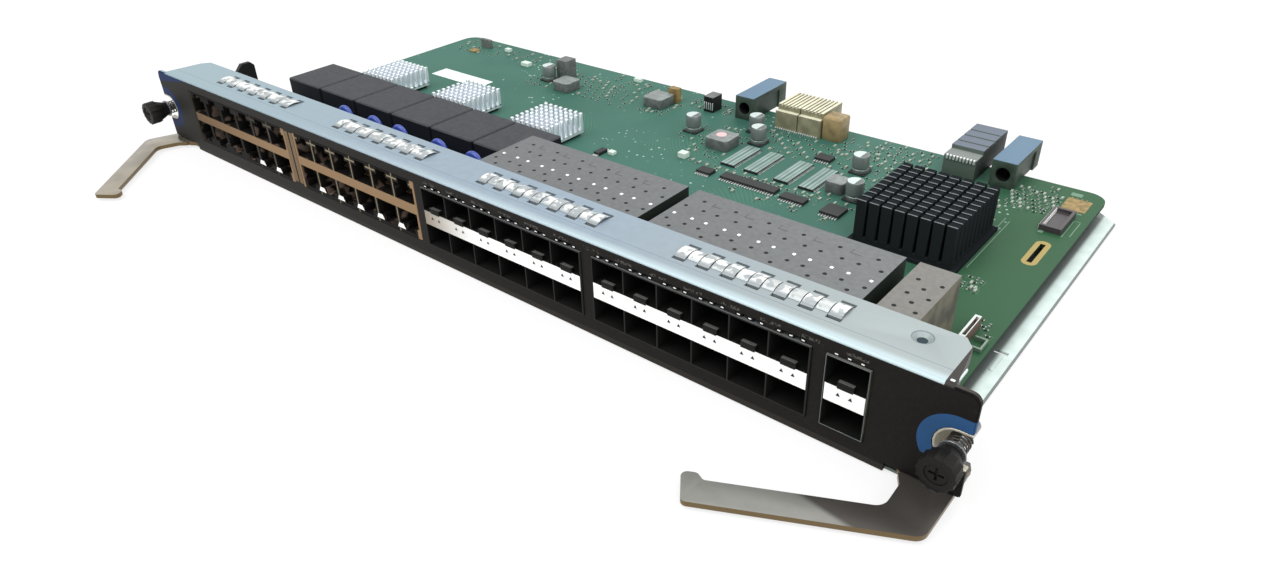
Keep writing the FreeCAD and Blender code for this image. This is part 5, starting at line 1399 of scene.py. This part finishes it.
@dataclass
class BoardParts:
    """Cans, inductors, memory, logic and the loose parts on the board."""

    cans: tuple[tuple[float, float], ...] = (
        (256.5, 177.0), (265.3, 165.0), (229.8, 159.0), (321.2, 164.5), (332.0, 138.0), (115.0, 171.5))
    memories: tuple[tuple[float, float], ...] = ((268.0, 145.5), (281.0, 145.5), (297.5, 145.0), (310.5, 145.0))
    memory: tuple[float, float] = (7.6, 24.0)
    logic: tuple[tuple[float, float, float, float], ...] = (
        (264.0, 122.0, 7.5, 5.5), (287.5, 123.0, 29.0, 5.5), (311.5, 121.5, 12.0, 5.5), (331.0, 121.5, 9.0, 9.0),
        (301.5, 167.0, 8.0, 6.0), (209.5, 109.5, 3.4, 6.5))
    top: float = BOARD_TOP
    inductor_top: float = 13.0
    memory_pins: int = 24
    logic_pitch: float = 1.35

    def build(self) -> None:
        """Makes and places every piece."""
        self.can_row()
        recast("power_inductors", 0.4, FERRITE, 2, others=((FERRITE_TOP, lambda face: face.normal.z > 0.9),))
        fixed(dressed(self.marker(), BLUSH))
        paint_node("memory_chips", CHIP)
        second_finish(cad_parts["memory_chips"], GLARE, lambda face: face.normal.z > 0.9)
        paint_node("logic_chips", CHIP)
        self.memory_leads()
        self.logic_pins()
        for node, finish in (("gold_parts", GOLD), ("pale_parts", SILK), ("wire_clip", CLIP),
                             ("corner_bracket", BLACK)):
            recast(node, 0.12, finish)
        recast("grey_parts", 0.12, FERRITE, others=(
            (BLACK, lambda face: abs(face.normal.z) < 0.5 and face.center.x > spot(210, 0, 0).x),))
        legs = [slab("leg", (218.3 + index * 1.3, 184.2, 9.0), (218.8 + index * 1.3, 184.5, 13.0), 0.05)
                for index in range(5)]
        fixed(dressed(merged("rear_part_legs", legs), TIN))
        # Painted highlight: the edge part's left faces are white.
        recast("edge_part", 0.12, PART_DARK, others=((GLINT, lambda face: face.center.x < spot(407.2, 0, 0).x),))
        recast("test_header", 0.12, PAPER, others=((HEADER_SIDE, lambda face: face.normal.x > 0.6),))

    def marker(self) -> bpy.types.Object:
        """Pale disc on the top of the middle inductor."""
        profile = [(2.6, 0.0), (2.6, 0.08), (2.4, 0.14)]
        return turned("inductor_marker", (251.6, 152.6, self.inductor_top), profile, Axis.Z, 24)

    def logic_pins(self) -> None:
        """Rows of leads along both long sides of every logic chip."""
        pieces = []
        for x, y, width, depth in self.logic:
            lead = slab("lead", (0, -1.15, 0), (0.6, 1.15, 0.55), 0.05)
            count = max(4, round(width / self.logic_pitch))
            for index in range(count):
                across = x - width / 2 + 0.5 + index * (width - 1.4) / (count - 1)
                pieces += [copied(lead, (across, y + side * (depth / 2 + 0.6), self.top)) for side in (-1, 1)]
            bpy.data.objects.remove(lead)
        fixed(dressed(merged("logic_leads", pieces), TIN))

    def can_row(self) -> None:
        """Rolled aluminium cans on black feet, each with a dark segment on its top."""
        can = turned("can", (0, 0, self.top), [(3.9, 1.0), (3.9, 2.2), (3.6, 2.5), (3.6, 2.9), (3.95, 3.2), (3.95, 8.5),
                                               (3.6, 9.0)], Axis.Z, 32)
        smoothed(dressed(can, CAN), 35.0)
        second_finish(can, CAN_TOP, lambda face: face.normal.z > 0.8 and face.center.z > (self.top + 8.0) * MM)
        foot = dressed(slab("foot", (-4.2, -4.2, self.top), (4.2, 4.2, self.top + 1.0), 0.4, 1), BLACK)
        segment = turned("segment", (0, 0, self.top), [(3.5, 8.9), (3.5, 9.02)], Axis.Z, 24)
        with_plane_cut(segment, spot(0.9, 0, 0), (1, 0, 0))
        dressed(segment, FERRITE)
        whole = merged("can", [can, foot, segment])
        cans = [copied(whole, (x, y, 0)) for x, y in self.cans]
        bpy.data.objects.remove(whole)
        fixed(merged("can_set", cans), nodes=("can_capacitors",))

    def memory_leads(self) -> None:
        """Bent leads along both long sides of every memory chip."""
        lead = merged("lead", [dressed(slab("leg", (0, -0.15, 0.0), (0.9, 0.15, 0.2), 0.03), TIN),
                               dressed(slab("rise", (0.0, -0.15, 0.1), (0.25, 0.15, 0.75), 0.03), TIN)])
        pieces = []
        width, length = self.memory
        for x, y in self.memories:
            for side, turn in ((1, 0.0), (-1, 180.0)):
                for index in range(self.memory_pins):
                    along = y - length / 2 + 1.0 + index * (length - 2.0) / (self.memory_pins - 1)
                    pieces.append(copied(lead, (x + side * (width / 2), along, self.top), turn, (0, 0, 0)))
        bpy.data.objects.remove(lead)
        fixed(merged("memory_leads", pieces))


def with_plane_cut(obj: bpy.types.Object, point: Vector, normal: Triple) -> bpy.types.Object:
    """Cuts away the part of a piece behind a plane and closes the cut."""
    select_all_faces(obj)
    bpy.ops.mesh.bisect(plane_co=point, plane_no=normal, use_fill=True, clear_inner=True, clear_outer=False)
    leave_edit()
    return obj


@dataclass
class Levers:
    """Two ejector levers on their rivets."""

    def build(self) -> None:
        """Makes and places both levers."""
        for side, finish in (("left", LEFT_LEVER), ("right", RIGHT_LEVER)):
            recast(f"{side}_lever", 0.35, finish, 2, f"{side}_lever",
                   ((BRASS_EDGE, lambda face: abs(face.normal.z) < 0.35),))
            recast(f"{side}_lever_pin", 0.3, STEEL, 2)


@dataclass
class CaptiveScrews:
    """Two sprung screws in their cups."""

    inset: float = SCREW_INSET
    width: float = PANEL_WIDTH
    height: float = SCREW_HEIGHT
    start: float = -2.05
    end: float = 4.45
    turns: int = 5
    radius: float = 3.0
    wire: float = 0.3
    keep: float = 0.52

    def build(self) -> None:
        """Makes and places both screws."""
        for side, x in (("left", self.inset), ("right", self.width - self.inset)):
            recast(f"{side}_screw_cup", 0.12, CUP)
            recast(f"{side}_screw_knob", 0.25, KNOB, 2, f"{side}_screw")
            recast(f"{side}_captive_screw", 0.12, STEEL, 1, f"{side}_screw",
                   ((KNOB, lambda face: face.center.y < spot(0, -6.0, 0).y),))
            recast(f"{side}_screw_washer", 0.08, STEEL, 1, f"{side}_screw_slide")
            self.spring(side, x)

    def spring(self, side: str, x: float) -> None:
        """Round wire wound about one screw."""
        clear_selection()
        bpy.ops.mesh.primitive_circle_add(vertices=8, radius=self.wire * MM, fill_type="NGON",
                                          location=(self.radius * MM, 0, 0), rotation=(math.pi / 2, 0, 0))
        coil = bpy.context.active_object
        coil.name = f"{side}_spring_coil"
        settle(coil)
        pitch = (self.end - self.start) / self.turns
        with_modifier(coil, "SCREW", {"axis": "Z", "angle": math.tau, "iterations": self.turns,
                                      "screw_offset": pitch * MM, "steps": 20, "render_steps": 20,
                                      "use_merge_vertices": True, "merge_threshold": 1e-6})
        coil.rotation_euler = (-math.pi / 2, 0, 0)
        coil.location = spot(x, self.start, self.height)
        settle(coil)
        select_all_faces(coil)
        bpy.ops.mesh.normals_make_consistent(inside=False)
        leave_edit()
        smoothed(dressed(coil, SPRING_WIRE), 60.0)
        fixed(coil, "card", (f"{side}_screw_spring",))
        tuple(spot(x, self.end + self.wire, self.height))
        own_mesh(coil)


# ---------------------------------------------------------------- studio
@dataclass
class Studio:
    """Pale floor, soft lights and the camera.

    Attributes:
        place: Where the camera stands, in metres.
        turn: Its turn in degrees about X, Y and Z.
        lens: Focal length in millimetres.
    """

    place: Triple = (0.263841, -0.291583, 0.187059)
    turn: Triple = (57.375571, 1.299114, 39.022782)
    lens: float = 25.001672
    ambient: float = 0.62

    def build(self) -> None:
        """Sets up the whole studio."""
        bpy.context.scene.view_settings.view_transform = "Standard"
        self.floor()
        self.world()
        self.lamp("key", (-0.35, -0.75, 1.25), 1.1, 13.0)
        self.lamp("fill", (0.9, -0.35, 0.9), 0.9, 7.0)
        self.lamp("back", (0.1, 1.0, 1.1), 1.0, 8.0)
        self.camera()

    def floor(self) -> None:
        """Wide pale floor that keeps the card's shadow."""
        clear_selection()
        bpy.ops.mesh.primitive_plane_add(size=12.0, location=(0, 0, -0.0004))
        floor = bpy.context.active_object
        floor.name = "studio_floor"
        settle(floor)
        bench = NodeBench("floor_paint")
        paint = bench.node("ShaderNodeBsdfDiffuse", None, {"Color": (0.9, 0.9, 0.9, 1.0)})
        glow = bench.node("ShaderNodeEmission", None, {"Color": (1, 1, 1, 1), "Strength": 1.0})
        rays = bench.node("ShaderNodeLightPath").outputs
        seen = Signal(bench, rays["Is Camera Ray"])
        for kind in ("Is Glossy Ray", "Is Transmission Ray"):
            seen = seen.at_least(Signal(bench, rays[kind]))
        mix = bench.node("ShaderNodeMixShader", None, {0: seen * 0.75, 1: paint.outputs[0], 2: glow.outputs[0]})
        bench.node("ShaderNodeOutputMaterial", None, {"Surface": mix.outputs[0]})
        floor.data.materials.append(bench.material)

    def world(self) -> None:
        """White surroundings for the camera, softer for the light they give."""
        world = bpy.data.worlds.new("studio_world")
        bpy.context.scene.world = world
        world.use_nodes = True
        tree = world.node_tree
        tree.nodes.clear()
        path = tree.nodes.new("ShaderNodeLightPath")
        looked = path.outputs["Is Camera Ray"]
        for kind in ("Is Glossy Ray", "Is Transmission Ray"):
            either = tree.nodes.new("ShaderNodeMath")
            either.operation = "MAXIMUM"
            tree.links.new(looked, either.inputs[0])
            tree.links.new(path.outputs[kind], either.inputs[1])
            looked = either.outputs[0]
        seen = tree.nodes.new("ShaderNodeMath")
        seen.operation = "MULTIPLY_ADD"
        tree.links.new(looked, seen.inputs[0])
        seen.inputs[1].default_value = 1.0 - self.ambient
        seen.inputs[2].default_value = self.ambient
        sky = tree.nodes.new("ShaderNodeBackground")
        sky.inputs["Color"].default_value = (1.0, 1.0, 1.0, 1.0)
        tree.links.new(seen.outputs[0], sky.inputs["Strength"])
        out = tree.nodes.new("ShaderNodeOutputWorld")
        tree.links.new(sky.outputs[0], out.inputs["Surface"])

    def lamp(self, name: str, place: Triple, size: float, power: float) -> None:
        """Square soft light that faces the card."""
        clear_selection()
        bpy.ops.object.light_add(type="AREA", location=place)
        lamp = bpy.context.active_object
        lamp.name = f"studio_{name}"
        lamp.data.size = size
        lamp.data.energy = power
        lamp.rotation_euler = (Vector((0, 0, 0)) - Vector(place)).to_track_quat("-Z", "Y").to_euler()

    def camera(self) -> None:
        """Camera at the card's right front corner."""
        clear_selection()
        bpy.ops.object.camera_add(location=self.place, rotation=[math.radians(angle) for angle in self.turn])
        camera = bpy.context.active_object
        camera.name = "studio_camera"
        camera.data.sensor_width = 36.0
        camera.data.lens = self.lens
        camera.data.clip_start = 0.01
        bpy.context.scene.camera = camera


def main() -> None:
    """Builds every sub-assembly, then the studio."""
    logging.basicConfig(level=logging.INFO, format="%(message)s")
    TrayAndBoard().build()
    FrontPanel().build()
    CopperPorts().build()
    ModuleCages().build()
    Magnetics().build()
    HeatSinks().build()
    Backplane().build()
    BoardParts().build()
    Levers().build()
    CaptiveScrews().build()
    Studio().build()


if __name__ == "__main__":
    main()
